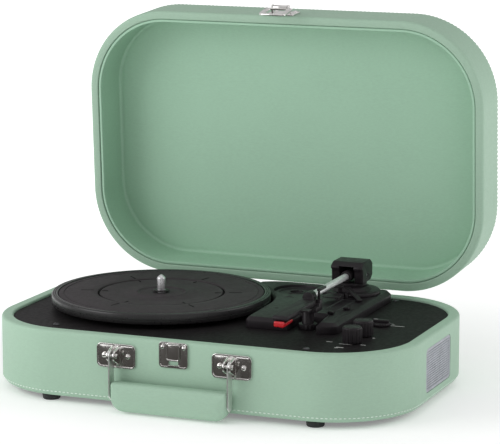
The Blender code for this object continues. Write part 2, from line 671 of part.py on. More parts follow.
def arm():
    """Tube, headshell, cartridge and stylus, lying along -Y over the arm rest."""
    tube_front = -16 * MM
    tube_rear = 89 * MM
    length = tube_rear - tube_front
    weight = 9 * MM
    tube = turned("tonearm_tube", Vector((ARM.x, tube_front, ARM_HEIGHT)),
                  [(0, 0), (2.4 * MM, 0), (TUBE_RADIUS, 0.4 * MM), (TUBE_RADIUS, length - weight),
                   (4.0 * MM, length - weight), (4.4 * MM, length - weight + 0.4 * MM), (4.4 * MM, length - 0.4 * MM),
                   (4.0 * MM, length), (0, length)][::-1], "aluminium", 24)
    tube.rotation_euler = Matrix.Rotation(radians(-90), 4, "X").to_euler()
    bore = rod("tube_bore", PIVOT, 1.75 * MM, 20 * MM, None, axis="X", sides=16)
    combine(tube, bore, "DIFFERENCE")
    bore.matrix_parent_inverse = (Matrix.Translation(tube.location) @ tube.rotation_euler.to_matrix().to_4x4()).inverted()
    return [tube, headshell(), cartridge(), stylus()]


HEAD_REAR = -24 * MM
HEAD_FRONT = -87 * MM
HEAD_LOW = 71.6 * MM


def headshell():
    """Slender flat shell on a collar that slides over the tube, hollowed for the cartridge."""
    side = [(HEAD_REAR, HEAD_LOW), (HEAD_REAR, 76.4 * MM), (HEAD_REAR - 1.5 * MM, 77 * MM),
            (HEAD_FRONT + 2 * MM, 75.6 * MM), (HEAD_FRONT, 74.6 * MM), (HEAD_FRONT, HEAD_LOW)]
    shell = slab("headshell", [side], ARM.x - 6.6 * MM, ARM.x + 6.6 * MM, "black_plastic", "YZ")
    bevel(shell, 0.8 * MM, 1)
    cut(shell, box("cartridge_bay", (ARM.x - 4.9 * MM, HEAD_FRONT + 1.6 * MM, 60 * MM),
                   (ARM.x + 4.9 * MM, HEAD_FRONT + 33 * MM, 74 * MM), None))
    collar = rod("headshell_collar", Vector((ARM.x, -21.5 * MM, ARM_HEIGHT)), 4.5 * MM, 9 * MM, None, axis="Y", sides=20)
    lift = box("finger_lift", (ARM.x + 4 * MM, -58 * MM, 73.4 * MM), (ARM.x + 12.5 * MM, -50 * MM, 74.6 * MM), None)
    join(shell, collar, lift)
    cut(shell, rod("collar_bore", Vector((ARM.x, -16 * MM, ARM_HEIGHT)), TUBE_RADIUS + 0.3 * MM, 10.6 * MM, None,
                   axis="Y", sides=20))
    return shell


def cartridge():
    return box("cartridge", (ARM.x - 4.5 * MM, HEAD_FRONT + 2.2 * MM, 70.3 * MM),
               (ARM.x + 4.5 * MM, HEAD_FRONT + 27 * MM, 73.7 * MM), "black_plastic")


def stylus():
    """Clip-on red stylus block: a nose plate in front and a long guard under the cartridge."""
    front = HEAD_FRONT - 2.4 * MM
    side = [(front, 71.4), (front, 67.6), (front + 1 * MM, 66.8), (front + 19 * MM, 67.6), (front + 20 * MM, 68.6),
            (front + 20 * MM, 70.0), (front + 2.1 * MM, 70.0), (front + 2.1 * MM, 71.4)]
    side = [(y, z * MM) for y, z in side]
    block = slab("stylus", [side], ARM.x - 4.2 * MM, ARM.x + 4.2 * MM, "red_plastic", "YZ")
    bevel(block, 0.4 * MM, 1)
    return block


CLIP_AXIS = Vector((REST_POST.x + 6.5 * MM, REST_POST.y + 7.3 * MM, 83 * MM))


def arm_rest():
    """Post in the deck's notch, with a fluted foot, a saddle under the collar and a wall beside it."""
    outline = [(REST_POST.x + x, REST_POST.y + y) for x, y in fluted(7.9 * MM, 14, 0.7 * MM)]
    post = slab("arm_rest", [outline], PLINTH_TOP + GAP, PLINTH_TOP + 4.4 * MM, "black_plastic", origin=REST_POST)
    column = rod("rest_column", REST_POST + Vector((0, 0, 60.9 * MM)), 4.8 * MM, 15.6 * MM, None, sides=20)
    arm = box("rest_arm", (REST_POST.x - 6.4 * MM, REST_POST.y - 4 * MM, 67 * MM),
              (CLIP_AXIS.x + 1.9 * MM, REST_POST.y + 10.4 * MM, 71.2 * MM), None)
    saddle = box("rest_saddle", (REST_POST.x - 6.4 * MM, REST_POST.y + 2.6 * MM, 70 * MM),
                 (CLIP_AXIS.x + 1.9 * MM, REST_POST.y + 10.4 * MM, ARM_HEIGHT - 4.8 * MM), None)
    wall = box("rest_wall", (CLIP_AXIS.x - 1.9 * MM, CLIP_AXIS.y - 2.6 * MM, 69 * MM),
               (CLIP_AXIS.x + 1.9 * MM, CLIP_AXIS.y + 3.1 * MM, 76 * MM), None)
    join(post, column, arm, saddle, wall)
    cut(post, rod("fork_seat", Vector((ARM.x, REST_POST.y + 6.5 * MM, ARM_HEIGHT)), 4.9 * MM, 7.9 * MM + 6 * MM, None,
                  axis="Y", sides=24),
        rod("clip_bore", CLIP_AXIS, 1.3 * MM, 24 * MM, None, sides=16))
    return post


def rest_clip():
    """Small finger on an upright pin, which swings over the arm and keeps it on the rest."""
    low = CLIP_AXIS.z - 0.1 * MM
    outline = arc(CLIP_AXIS.x, CLIP_AXIS.y, 1.7 * MM, 180, 360, 8) + arc(CLIP_AXIS.x, CLIP_AXIS.y + 12 * MM, 1.7 * MM,
                                                                       0, 180, 8)
    finger = slab("arm_rest_clip", [outline], low, low + 1.7 * MM, "black_plastic", origin=CLIP_AXIS)
    join(finger, rod("clip_stem", CLIP_AXIS - Vector((0, 0, 5 * MM)), 1.0 * MM, 11 * MM, None, sides=14))
    return finger


def cueing():
    """Lift post and bar under the arm, worked by a small lever on the deck."""
    bar_top = ARM_HEIGHT - TUBE_RADIUS - 2.3 * MM
    lift = slab("cue_lift", [rounded(CUE_POST.x - 14 * MM, CUE_POST.y - 2 * MM, CUE_POST.x + 3 * MM,
                                     CUE_POST.y + 2 * MM, 1.6 * MM, 3)], bar_top - 1.6 * MM, bar_top,
                "black_plastic", origin=CUE_POST)
    join(lift, rod("cue_stem", CUE_POST + Vector((0, 0, 64.5 * MM)), 1.8 * MM, 17 * MM, None, sides=14))
    lever = box("cue_lever", (-10.9 * MM, -2.2 * MM, -0.9 * MM), (10.9 * MM, 2.2 * MM, 0.9 * MM), "black_plastic")
    bevel(lever, 0.4 * MM, 1)
    lever.data.transform(Matrix.Rotation(radians(-41.5), 4, "Z") @ Matrix.Rotation(radians(19.5), 4, "Y"))
    lever.data.transform(Matrix.Translation(Vector((2.75 * MM, -2.45 * MM, 1.75 * MM))))
    lever.location = CUE_PIVOT
    stand = box("cue_stand", (CUE_PIVOT.x - 5.4 * MM, CUE_PIVOT.y - 1.9 * MM, DECK_TOP + GAP),
                (CUE_PIVOT.x + 3 * MM, CUE_PIVOT.y + 1.9 * MM, CUE_PIVOT.z + 1.7 * MM), "black_plastic")
    cut(stand, box("stand_step", (CUE_PIVOT.x - 2.6 * MM, CUE_PIVOT.y - 9 * MM, DECK_TOP + 1.4 * MM),
                   (CUE_PIVOT.x + 9 * MM, CUE_PIVOT.y + 9 * MM, CUE_PIVOT.z + 9 * MM), None),
        rod("stand_bore", CUE_PIVOT, 1.05 * MM, 30 * MM, None, axis="X", sides=12))
    neck = box("cue_neck", tuple(CUE_PIVOT - Vector((1.6, 1.5, 0)) * MM), tuple(CUE_PIVOT + Vector((1.6, 1.5, 2.9)) * MM),
               None)
    join(lever, neck, rod("cue_hub", CUE_PIVOT, 1.7 * MM, 4.4 * MM, None, axis="X", sides=16),
         rod("cue_pin", CUE_PIVOT - Vector((2.4 * MM, 0, 0)), 0.75 * MM, 5.6 * MM, None, axis="X", sides=12))
    return lift, stand, lever


# ---- lid --------------------------------------------------------------------------------
def lid_pieces():
    """Lid as it lies when shut: a wrapped shell, its lining board, and its half of the latch."""
    shell = slab("lid_shell", [case_outline(0)], LID_LOW, LID_HIGH, "leatherette")
    edge_weights(shell, level_edges((LID_HIGH, 1.0), (LID_LOW, RIM_ROUNDING / EDGE_ROUNDING)))
    bevel(shell, EDGE_ROUNDING, 3, weighted=True)
    cut(shell, slab("lid_hollow", [case_outline(LID_WALL)], LID_LOW - 9 * MM, LID_HIGH - LID_TOP, None))
    lining_top = LID_HIGH - LID_TOP - GAP
    lining = slab("lid_lining", [case_outline(LID_WALL + GAP)], lining_top - 1.5 * MM, lining_top, "lining")
    return [shell, lining]


LEAF_HALF = 15 * MM
KNUCKLE = 2.5 * MM
HINGE_X = 62 * MM
PIN_RADIUS = 1.2 * MM


def hinge_leaf(name, x, outer):
    """One leaf of a butt hinge on the case's back wall; outer leaves carry the pin."""
    wall = BACK + GAP
    direction = -1 if outer else 1
    edge = LID_AXIS.z + direction * (KNUCKLE + 0.9 * MM)
    tip = LID_AXIS.z + direction * 20 * MM
    leaf = slab(name, [rounded(x - LEAF_HALF, min(edge, tip), x + LEAF_HALF, max(edge, tip), 1.5 * MM, 3)],
                wall, wall + 1.1 * MM, "steel", "XZ")
    spans = ((-LEAF_HALF, -5.3 * MM), (5.3 * MM, LEAF_HALF)) if outer else ((-5 * MM, 5 * MM),)
    for number, (left, right) in enumerate(spans):
        middle = Vector((x + (left + right) / 2, LID_AXIS.y, LID_AXIS.z))
        knuckle = rod("%s_knuckle_%d" % (name, number), middle, KNUCKLE, right - left, None, axis="X", sides=20)
        web_low = min(LID_AXIS.z, edge + direction * 1.2 * MM)
        web_high = max(LID_AXIS.z, edge + direction * 1.2 * MM)
        web = box("%s_web_%d" % (name, number), (x + left, wall + 0.05 * MM, web_low),
                  (x + right, wall + 1.05 * MM, web_high), None)
        join(leaf, knuckle, web)
    if outer:
        join(leaf, rod(name + "_pin", Vector((x, LID_AXIS.y, LID_AXIS.z)), PIN_RADIUS, 2 * LEAF_HALF - 1 * MM,
                       None, axis="X", sides=16))
    else:
        cut(leaf, rod(name + "_bore", Vector((x, LID_AXIS.y, LID_AXIS.z)), PIN_RADIUS + 0.3 * MM, 20 * MM,
                      None, axis="X", sides=16))
    return leaf


# ---- latch ----------------------------------------------------------------------------
PLATE_HALF = 12.3 * MM
PLATE_THICK = 1.0 * MM
PLATE_BACK = FRONT - GAP
PLATE_FACE = PLATE_BACK - PLATE_THICK


def rivet_heads(target, spots, radius=2.4 * MM):
    for number, (x, z) in enumerate(spots):
        head = turned("%s_rivet_%d" % (target.name, number), Vector((x, PLATE_FACE + 0.3 * MM, z)),
                      [(0, 1.7 * MM), (radius * 0.6, 1.4 * MM), (radius, 0.5 * MM), (radius, 0), (0, 0)],
                      None, 14, axis="Y")
        join(target, head)
        head.matrix_parent_inverse = Matrix.Translation(-target.location)


def latch():
    plate = slab("latch_plate", [rounded(-PLATE_HALF, 33.5 * MM, PLATE_HALF, 54.2 * MM,
                                         (4 * MM, 4 * MM, 1.5 * MM, 1.5 * MM), 4),
                                 rounded(-4 * MM, 35.2 * MM, 4 * MM, 51 * MM, 0.6 * MM, 2)],
                 PLATE_FACE, PLATE_BACK, "chrome", "XZ")
    rivet_heads(plate, ((-9.2 * MM, 49.6 * MM), (9.2 * MM, 49.6 * MM)), 2 * MM)
    tongue = slab("latch_tongue", [rounded(-5.9 * MM, 39.2 * MM, 5.9 * MM, 53.6 * MM, (2.4 * MM, 2.4 * MM, 1 * MM, 1 * MM), 3)],
                  PLATE_FACE - 1.5 * MM, PLATE_FACE - GAP, "chrome", "XZ")
    join(tongue, slab("tongue_slider", [rounded(-3.6 * MM, 39.6 * MM, 3.6 * MM, 50.6 * MM, 0.4 * MM, 2)],
                      PLATE_FACE - 1 * MM, PLATE_BACK - 0.05 * MM, None, "XZ"))
    bracket = slab("lid_latch_plate", [rounded(-PLATE_HALF, 56.6 * MM, PLATE_HALF, 74 * MM, 1.5 * MM, 3)],
                   PLATE_FACE, PLATE_BACK, "chrome", "XZ")
    for side in (-1, 1):
        inner, outer = side * 6.4 * MM, side * 7.8 * MM
        ear = [(PLATE_FACE + 0.5 * MM, 63 * MM), (PLATE_FACE + 0.5 * MM, 56.8 * MM)]
        ear += arc(HASP_AXIS.y, HASP_AXIS.z, 2.5 * MM, 220, 90, 7)
        join(bracket, slab("latch_ear_%d" % (side + 1), [ear[::-1]], min(inner, outer), max(inner, outer), None, "YZ"))
    join(bracket, rod("hasp_pin", HASP_AXIS, 1.0 * MM, 16.6 * MM, None, axis="X", sides=14))
    rivet_heads(bracket, ((-8.6 * MM, 70.4 * MM), (8.6 * MM, 70.4 * MM)), 2 * MM)
    return plate, tongue, bracket


def hasp():
    """Wire-like frame with a window, a rolled lower edge and a knuckle on the pin."""
    low = 37.4 * MM
    top = HASP_AXIS.z - 3.1 * MM
    frame = slab("latch_hasp", [rounded(-12.2 * MM, low, 12.2 * MM, top, (2.5 * MM, 2.5 * MM, 1 * MM, 1 * MM), 3),
                                rounded(-8 * MM, low + 2.4 * MM, 8 * MM, top - 2.4 * MM, 1.2 * MM, 3)],
                 HASP_AXIS.y - 0.6 * MM, HASP_AXIS.y + 0.6 * MM, "chrome", "XZ")
    knuckle = rod("hasp_knuckle", HASP_AXIS, 2.2 * MM, 12.2 * MM, None, axis="X", sides=20)
    neck = box("hasp_neck", (-6 * MM, HASP_AXIS.y - 0.55 * MM, top - 1 * MM), (6 * MM, HASP_AXIS.y + 0.55 * MM, HASP_AXIS.z),
               None)
    roll = rod("hasp_roll", Vector((0, HASP_AXIS.y, low + 0.4 * MM)), 1.1 * MM, 19 * MM, None, axis="X", sides=12)
    join(frame, knuckle, neck, roll)
    cut(frame, rod("hasp_bore", HASP_AXIS, 1.25 * MM, 30 * MM, None, axis="X", sides=14))
    return frame


# ---- handle ------------------------------------------------------------------------------
ARM_THICK = 2.0 * MM
GRIP_DEPTH = 12.6 * MM
ARM_DEPTH = 9.2 * MM
GRIP_TOP = 20 * MM
GRIP_LOW = -3.2 * MM


def handle_bracket(name, x):
    """Riveted plate with two ears and the fixed pin that the handle turns on."""
    bracket = slab(name, [rounded(x - 16.8 * MM, 29.2 * MM, x + 16.8 * MM, 48.8 * MM, 2.5 * MM, 3)],
                   PLATE_FACE, PLATE_BACK, "chrome", "XZ")
    for side in (-1, 1):
        inner = x + side * (ARM_THICK / 2 + 0.5 * MM)
        outer = x + side * (ARM_THICK / 2 + 2.1 * MM)
        ear = [(PLATE_FACE + 0.5 * MM, 46.8 * MM), (PLATE_FACE + 0.5 * MM, 33.4 * MM)]
        ear += arc(HANDLE_AXIS.y, HANDLE_AXIS.z, 4.6 * MM, 225, 90, 8)
        join(bracket, slab("%s_ear_%d" % (name, side + 1), [ear[::-1]], min(inner, outer), max(inner, outer), None, "YZ"))
    join(bracket, rod(name + "_pin", Vector((x, HANDLE_AXIS.y, HANDLE_AXIS.z)), 1.5 * MM, ARM_THICK + 5 * MM, None,
                      axis="X", sides=16))
    rivet_heads(bracket, ((x - 10.4 * MM, 39.2 * MM), (x + 10.4 * MM, 39.2 * MM)))
    return bracket


def handle_arm(name, x):
    y, z = HANDLE_AXIS.y, HANDLE_AXIS.z
    half = ARM_DEPTH / 2
    low = GRIP_TOP + GAP
    outline = [(y - half, low), (y + half, low)] + arc(y, z, half, 0, 180, 14)
    return slab(name, [outline, circle(y, z, 1.75 * MM, 16)], x - ARM_THICK / 2, x + ARM_THICK / 2,
                "steel", "YZ", origin=(x, y, z))


def handle_grip():
    half_x = HANDLE_X + ARM_THICK / 2
    grip = slab("handle_grip", [rounded(-half_x, GRIP_LOW, half_x, GRIP_TOP, (12 * MM, 12 * MM, 2 * MM, 2 * MM), 6)],
                HANDLE_AXIS.y - GRIP_DEPTH / 2, HANDLE_AXIS.y + GRIP_DEPTH / 2, "leatherette", "XZ", origin=HANDLE_AXIS)
    bevel(grip, 2.2 * MM, 2)
    return grip


# ---- assembly ---------------------------------------------------------------------------
def assemble():
    case = Axis("case_origin", (0, 0, 0))
    case.hang(lower_case(), *base_fittings(), *electronics(), *plinth())
    chassis, turntable, pulley = drive()
    case.hang(*chassis, *turntable, *pulley)
    volume, pitch, function, potentiometers = controls()
    case.hang(volume, pitch, function, *potentiometers)
    case.hang(tonearm_deck(), slide_switch("speed_selector", SPEED_SLOT), slide_switch("auto_stop_switch", STOP_SLOT))
    case.hang(adapter(), arm_base(), arm_rest())
    lift, stand, lever = cueing()
    case.hang(lift, stand)
    cue_axis = Axis("cue_lever_axis", CUE_PIVOT, case)
    cue_axis.hang(lever)
    clip_axis = Axis("rest_clip_axis", CLIP_AXIS, case)
    clip_axis.hang(rest_clip())
    swivel_axis = Axis("tonearm_swivel_axis", ARM, case)
    swivel_axis.hang(*housing())
    lift_axis = Axis("tonearm_lift_axis", PIVOT, swivel_axis)
    lift_axis.hang(*arm())
    plate, tongue, bracket = latch()
    case.hang(plate, tongue)
    case.hang(*[hinge_leaf("hinge_lower_leaf_" + n, s * HINGE_X, True) for s, n in ((-1, "left"), (1, "right"))])
    lid = Axis("lid_axis", LID_AXIS, case)
    lid.hang(bracket, *lid_pieces())
    lid.hang(*[hinge_leaf("hinge_upper_leaf_" + n, s * HINGE_X, False) for s, n in ((-1, "left"), (1, "right"))])
    hasp_axis = Axis("hasp_axis", HASP_AXIS, lid)
    hasp_axis.hang(hasp())
    handle = Axis("handle_axis", HANDLE_AXIS, case)
    handle.hang(handle_grip())
    for side, name in ((-1, "left"), (1, "right")):
        case.hang(handle_bracket("handle_bracket_" + name, side * HANDLE_X))
        handle.hang(handle_arm("handle_arm_" + name, side * HANDLE_X))
    lid.turn(-LID_OPEN)
    hasp_axis.turn(HASP_DROOP)
    case.empty.location = (0, CASE_Y, FOOT_HEIGHT)


assemble()
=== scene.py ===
"""Looks of the suitcase record player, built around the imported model."""
import json
from math import atan2, cos, pi, radians, sin

import bmesh
import bpy
from mathutils import Matrix, Vector


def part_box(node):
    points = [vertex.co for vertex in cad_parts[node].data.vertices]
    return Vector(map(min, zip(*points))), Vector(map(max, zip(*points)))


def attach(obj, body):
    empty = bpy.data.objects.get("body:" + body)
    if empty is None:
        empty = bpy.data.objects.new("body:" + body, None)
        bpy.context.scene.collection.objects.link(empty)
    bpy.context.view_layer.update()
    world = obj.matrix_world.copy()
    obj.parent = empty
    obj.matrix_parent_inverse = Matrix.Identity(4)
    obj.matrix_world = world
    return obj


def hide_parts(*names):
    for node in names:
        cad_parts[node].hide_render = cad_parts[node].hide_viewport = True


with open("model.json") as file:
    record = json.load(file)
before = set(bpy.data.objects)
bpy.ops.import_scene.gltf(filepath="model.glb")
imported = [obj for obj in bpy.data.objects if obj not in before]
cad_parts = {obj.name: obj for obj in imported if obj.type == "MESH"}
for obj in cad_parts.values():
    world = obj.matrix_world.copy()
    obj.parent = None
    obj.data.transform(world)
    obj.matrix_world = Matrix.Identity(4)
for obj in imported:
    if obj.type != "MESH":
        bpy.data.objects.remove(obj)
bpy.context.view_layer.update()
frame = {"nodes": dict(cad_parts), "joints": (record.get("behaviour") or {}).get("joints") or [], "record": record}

NODES = frame["nodes"]
BODY_OF = {node: body for body, nodes in frame["record"]["behaviour"]["bodies"].items() for node in nodes}
SLOT_OF = {row["node"]: row["material_slot"] for row in frame["record"]["subparts"]}
MM = 0.001


# ---- where things are ------------------------------------------------------------
def middle(node):
    low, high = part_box(node)
    return (low + high) / 2


CASE_LOW, CASE_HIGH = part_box("lower_case")
CASE_Y = (CASE_LOW.y + CASE_HIGH.y) / 2
CASE_Z = CASE_LOW.z
HALF_X = (CASE_HIGH.x - CASE_LOW.x) / 2
HALF_Y = (CASE_HIGH.y - CASE_LOW.y) / 2
BASE_HEIGHT = CASE_HIGH.z - CASE_LOW.z
CORNER_RADIUS = 72.5 * MM
BASE_WALL = 9.5 * MM
LID_WALL = 8.8 * MM
JOINTS = {joint["name"]: joint for joint in frame["joints"]}
LID_AXIS = Vector(JOINTS["lid_hinge"]["pos_m"])
LID_OPEN = radians(JOINTS["lid_hinge"]["range_deg"][1])
OPENED = (Matrix.Translation(LID_AXIS) @ Matrix.Rotation(-LID_OPEN, 4, "X")
          @ Matrix.Translation(-LID_AXIS))
RIM_GAP = 0.4 * MM           # between the two rims when the lid is shut
LID_HEIGHT = 46.1 * MM
LID_LOW = BASE_HEIGHT + RIM_GAP
LID_HIGH = LID_LOW + LID_HEIGHT
PLATTER = Vector(JOINTS["platter_spin"]["pos_m"])
PLINTH_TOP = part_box("plinth_plate")[1].z
FRONT_FACE = CASE_LOW.y


def at(x, y, z):
    """Point given in millimetres from the middle of the case's underside."""
    return Vector((x * MM, CASE_Y + y * MM, CASE_Z + z * MM))


# ---- materials ---------------------------------------------------------------------
def srgb(r, g, b):
    """Linear colour of an sRGB triple given as 0 to 255."""
    def linear(value):
        value /= 255
        return value / 12.92 if value <= 0.04045 else ((value + 0.055) / 1.055) ** 2.4
    return (linear(r), linear(g), linear(b), 1.0)


class Nodes:
    """Short hand for building a material's node tree in object space."""

    def __init__(self, name):
        self.material = bpy.data.materials.new(name)
        self.material.use_nodes = True
        self.tree = self.material.node_tree
        self.shader = self.tree.nodes["Principled BSDF"]
        self.place = self.add("ShaderNodeTexCoord").outputs["Object"]

    def add(self, kind, **settings):
        node = self.tree.nodes.new(kind)
        for key, value in settings.items():
            setattr(node, key, value)
        return node

    def link(self, start, end):
        self.tree.links.new(start, end)

    def noise(self, size, detail=2.0, roughness=0.5, stretch=None):
        """Noise whose features are about size metres across, as a 0 to 1 value."""
        place = self.place
        if stretch is not None:
            mapping = self.add("ShaderNodeMapping")
            mapping.inputs["Scale"].default_value = stretch
            self.link(place, mapping.inputs["Vector"])
            place = mapping.outputs["Vector"]
        node = self.add("ShaderNodeTexNoise")
        node.inputs["Scale"].default_value = 1 / size
        node.inputs["Detail"].default_value = detail
        node.inputs["Roughness"].default_value = roughness
        self.link(place, node.inputs["Vector"])
        return node.outputs["Fac"]

    def cells(self, size):
        """Rounded cells about size metres across."""
        node = self.add("ShaderNodeTexVoronoi", feature="SMOOTH_F1")
        node.inputs["Scale"].default_value = 1 / size
        self.link(self.place, node.inputs["Vector"])
        return node.outputs["Distance"]

    def spread(self, value, low, high, from_low=0.3, from_high=0.7):
        """Map a 0 to 1 value onto a range."""
        node = self.add("ShaderNodeMapRange")
        for key, number in (("From Min", from_low), ("From Max", from_high),
                            ("To Min", low), ("To Max", high)):
            node.inputs[key].default_value = number
        self.link(value, node.inputs["Value"])
        return node.outputs["Result"]

    def blend(self, factor, first, second):
        """Mix of two colours, each of them a value or a socket."""
        node = self.add("ShaderNodeMix", data_type="RGBA")
        first_colour, second_colour, result = node.inputs[6], node.inputs[7], node.outputs[2]
        for socket, value in ((first_colour, first), (second_colour, second)):
            if isinstance(value, tuple):
                socket.default_value = value
            else:
                self.link(value, socket)
        self.link(factor, node.inputs[0])
        return result

    def colour(self, first, second, factor):
        self.link(self.blend(factor, first, second), self.shader.inputs["Base Color"])

    def roughness(self, factor, low, high):
        self.link(self.spread(factor, low, high), self.shader.inputs["Roughness"])

    def bump(self, height, distance, strength=1.0, under=None):
        node = self.add("ShaderNodeBump")
        node.inputs["Distance"].default_value = distance
        node.inputs["Strength"].default_value = strength
        self.link(height, node.inputs["Height"])
        if under is not None:
            self.link(under, node.inputs["Normal"])
        self.link(node.outputs["Normal"], self.shader.inputs["Normal"])
        return node.outputs["Normal"]

    def set(self, **values):
        for key, value in values.items():
            self.shader.inputs[key.replace("_", " ")].default_value = value


def shade(colour, factor):
    return tuple(min(1, value * factor) for value in colour[:3]) + (1.0,)


LEVEL_STREAKS = (0.25, 0.25, 1)      # draws a texture out sideways, four times as long as high


def leatherette(name, colour, grain=0.9, depth=0.05, rough=(0.5, 0.62), drift=0.02):
    """Pebbled vinyl: cells with fine wrinkles over them and a slow drift of colour."""
    m = Nodes(name)
    tone = m.blend(m.spread(m.noise(40 * MM, 3), 0, 1), shade(colour, 1 - drift), shade(colour, 1 + drift))
    creases = m.noise(0.8 * MM, 3, 0.6, stretch=LEVEL_STREAKS)
    worn = m.blend(m.spread(creases, 0, 0.7), tone, shade(colour, 1.12))
    m.link(worn, m.shader.inputs["Base Color"])
    m.roughness(m.noise(4 * MM, 2), *rough)
    pebbles = m.bump(m.cells(grain * MM), depth * MM, 0.7)
    m.bump(m.noise(0.6 * MM, 2, 0.5, stretch=LEVEL_STREAKS), 0.08 * MM, 0.7, under=pebbles)
    m.set(Specular_IOR_Level=0.36)
    return m.material


def plastic(name, colour, rough, texture=0.35, depth=0.02, drift=0.12, coat=0.0, specular=0.5):
    """Moulded plastic with a fine spark-eroded skin and a few faint scuffs."""
    m = Nodes(name)
    m.colour(shade(colour, 1 - drift), shade(colour, 1 + drift), m.spread(m.noise(9 * MM, 3), 0, 1))
    m.roughness(m.noise(3 * MM, 3), rough - 0.04, rough + 0.06)
    m.bump(m.noise(texture * MM, 3, 0.6), depth * MM, 0.6)
    m.set(Specular_IOR_Level=specular)
    if coat:
        m.set(Coat_Weight=coat, Coat_Roughness=0.12)
    return m.material


def metal(name, colour, rough, brushed=None, depth=0.004):
    """Metal with faint streaks and smears in its polish."""
    m = Nodes(name)
    m.set(Metallic=1.0)
    m.colour(shade(colour, 0.93), shade(colour, 1.05), m.spread(m.noise(5 * MM, 3), 0, 1))
    m.roughness(m.noise(1.4 * MM, 3, 0.6, stretch=brushed), rough * 0.75, rough * 1.5)
    m.bump(m.noise(0.5 * MM, 2, 0.5, stretch=brushed), depth * MM, 0.4)
    return m.material


MINT = srgb(157, 186, 165)
INK = plastic("white_ink", srgb(225, 226, 224), 0.6, 0.2, 0.004, 0.05)
THREAD = leatherette("mint_thread", srgb(222, 234, 225), 0.3, 0.03, (0.6, 0.7))
MATERIALS = {
    "leatherette": leatherette("mint_leatherette", MINT),
    "lining": leatherette("mint_lining", srgb(155, 190, 166), 0.7, 0.03, (0.6, 0.72), 0.02),
    # Leans a little to magenta: painted light, cancelling the green the mint lid throws on the blacks.
    "black_plastic": plastic("black_moulded_plastic", srgb(35, 31, 34), 0.42, specular=0.22),
    "grey_plastic": plastic("grey_moulded_plastic", srgb(163, 166, 174), 0.5),
    "black_rubber": plastic("black_rubber", srgb(44, 44, 45), 0.6, 0.3, 0.03, specular=0.3),
    "chrome": metal("bright_nickel", (0.80, 0.785, 0.77, 1), 0.09),
    "aluminium": metal("satin_aluminium", (0.74, 0.74, 0.75, 1), 0.48, (8, 1, 8)),
    "strap": metal("polished_strap", (0.8, 0.81, 0.79, 1), 0.34, depth=0.001),
    "steel": metal("plain_steel", (0.5, 0.5, 0.52, 1), 0.32),
    "black_steel": metal("blackened_steel", (0.1, 0.1, 0.105, 1), 0.35),
    "brass": metal("turned_brass", (0.66, 0.5, 0.24, 1), 0.25),
    "red_plastic": plastic("red_moulded_plastic", srgb(196, 22, 34), 0.3, coat=0.4),
    "board": plastic("green_board", srgb(30, 90, 52), 0.45),
    "card": plastic("black_card", srgb(30, 30, 30), 0.8),
}
# These blacks lean a little to magenta too: painted light cancelling the green from the mint lid.
PLINTH = plastic("black_leather_grain", srgb(32, 30, 31), 0.5, 0.55, 0.05, 0.16, specular=0.06)
MAT = plastic("ribbed_platter_rubber", srgb(62, 57, 60), 0.62, 0.28, 0.02, 0.1, specular=0.12)
GLOSS = plastic("gloss_platter_rim", srgb(32, 31, 32), 0.3, specular=0.5)
TURNED = metal("turned_spindle_steel", (0.68, 0.68, 0.69, 1), 0.3, depth=0.001)
# Painted shade: the lid's vinyl is the base's leatherette made 8% darker, because the raised lid catches more
# light.
LID_SKIN_SHADED = leatherette("mint_leatherette_shaded_for_lid", shade(MINT, 0.92))
# Near-black for painted shade, laid in the mat's grooves and slots where their shadow falls.
GROOVE_SHADE_BLACK = plastic("groove_shadow", srgb(14, 14, 14), 0.85, specular=0.04)
for node, thing in NODES.items():
    thing.data.materials.clear()
    thing.data.materials.append(MATERIALS[SLOT_OF[node]])
NODES["plinth_plate"].data.materials[0] = PLINTH


# ---- outlines ------------------------------------------------------------------------
def arc(cx, cy, radius, start, end, steps):
    turns = [radians(start + (end - start) * step / steps) for step in range(steps + 1)]
    return [(cx + radius * cos(turn), cy + radius * sin(turn)) for turn in turns]


def rounded(left, low, right, high, radii, steps=6):
    """Rounded rectangle, with radii for the lower left, lower right, upper right and upper left."""
    if not isinstance(radii, tuple):
        radii = (radii,) * 4
    spots = ((left, low, 1, 1, 180), (right, low, -1, 1, 270),
             (right, high, -1, -1, 0), (left, high, 1, -1, 90))
    points = []
    for radius, (x, y, inward_x, inward_y, start) in zip(radii, spots):
        points += arc(x + inward_x * radius, y + inward_y * radius, radius, start, start + 90, steps)
    return points


CORNER_STEPS = 40
RUN_STEPS = 12


def case_outline(inset):
    """Outline of the case moved inwards, with its straight runs divided too."""
    steps = CORNER_STEPS
    radius = CORNER_RADIUS - inset
    corners = rounded(-HALF_X + inset, -HALF_Y + inset, HALF_X - inset, HALF_Y - inset, radius, steps)
    points = []
    for corner in range(4):
        run = corners[corner * (steps + 1):(corner + 1) * (steps + 1)]
        (x0, y0), (x1, y1) = run[-1], corners[(corner + 1) * (steps + 1) % len(corners)]
        points += run
        points += [(x0 + (x1 - x0) * k / RUN_STEPS, y0 + (y1 - y0) * k / RUN_STEPS)
                   for k in range(1, RUN_STEPS)]
    return points


# ---- building pieces -----------------------------------------------------------------
def placed(name, data):
    """New object in the scene, holding a mesh, a camera or a light."""
    thing = bpy.data.objects.new(name, data)
    bpy.context.scene.collection.objects.link(thing)
    return thing


def smoothed(mesh, angle):
    """Shade a mesh smooth, but for edges sharper than an angle in degrees."""
    mesh.polygons.foreach_set("use_smooth", [True] * len(mesh.polygons))
    mesh.set_sharp_from_angle(angle=radians(angle))


PLANES = {
    "XY": lambda u, v, w: Vector((u, v, w)),
    "XZ": lambda u, v, w: Vector((u, w, v)),
    "YZ": lambda u, v, w: Vector((w, u, v)),
}


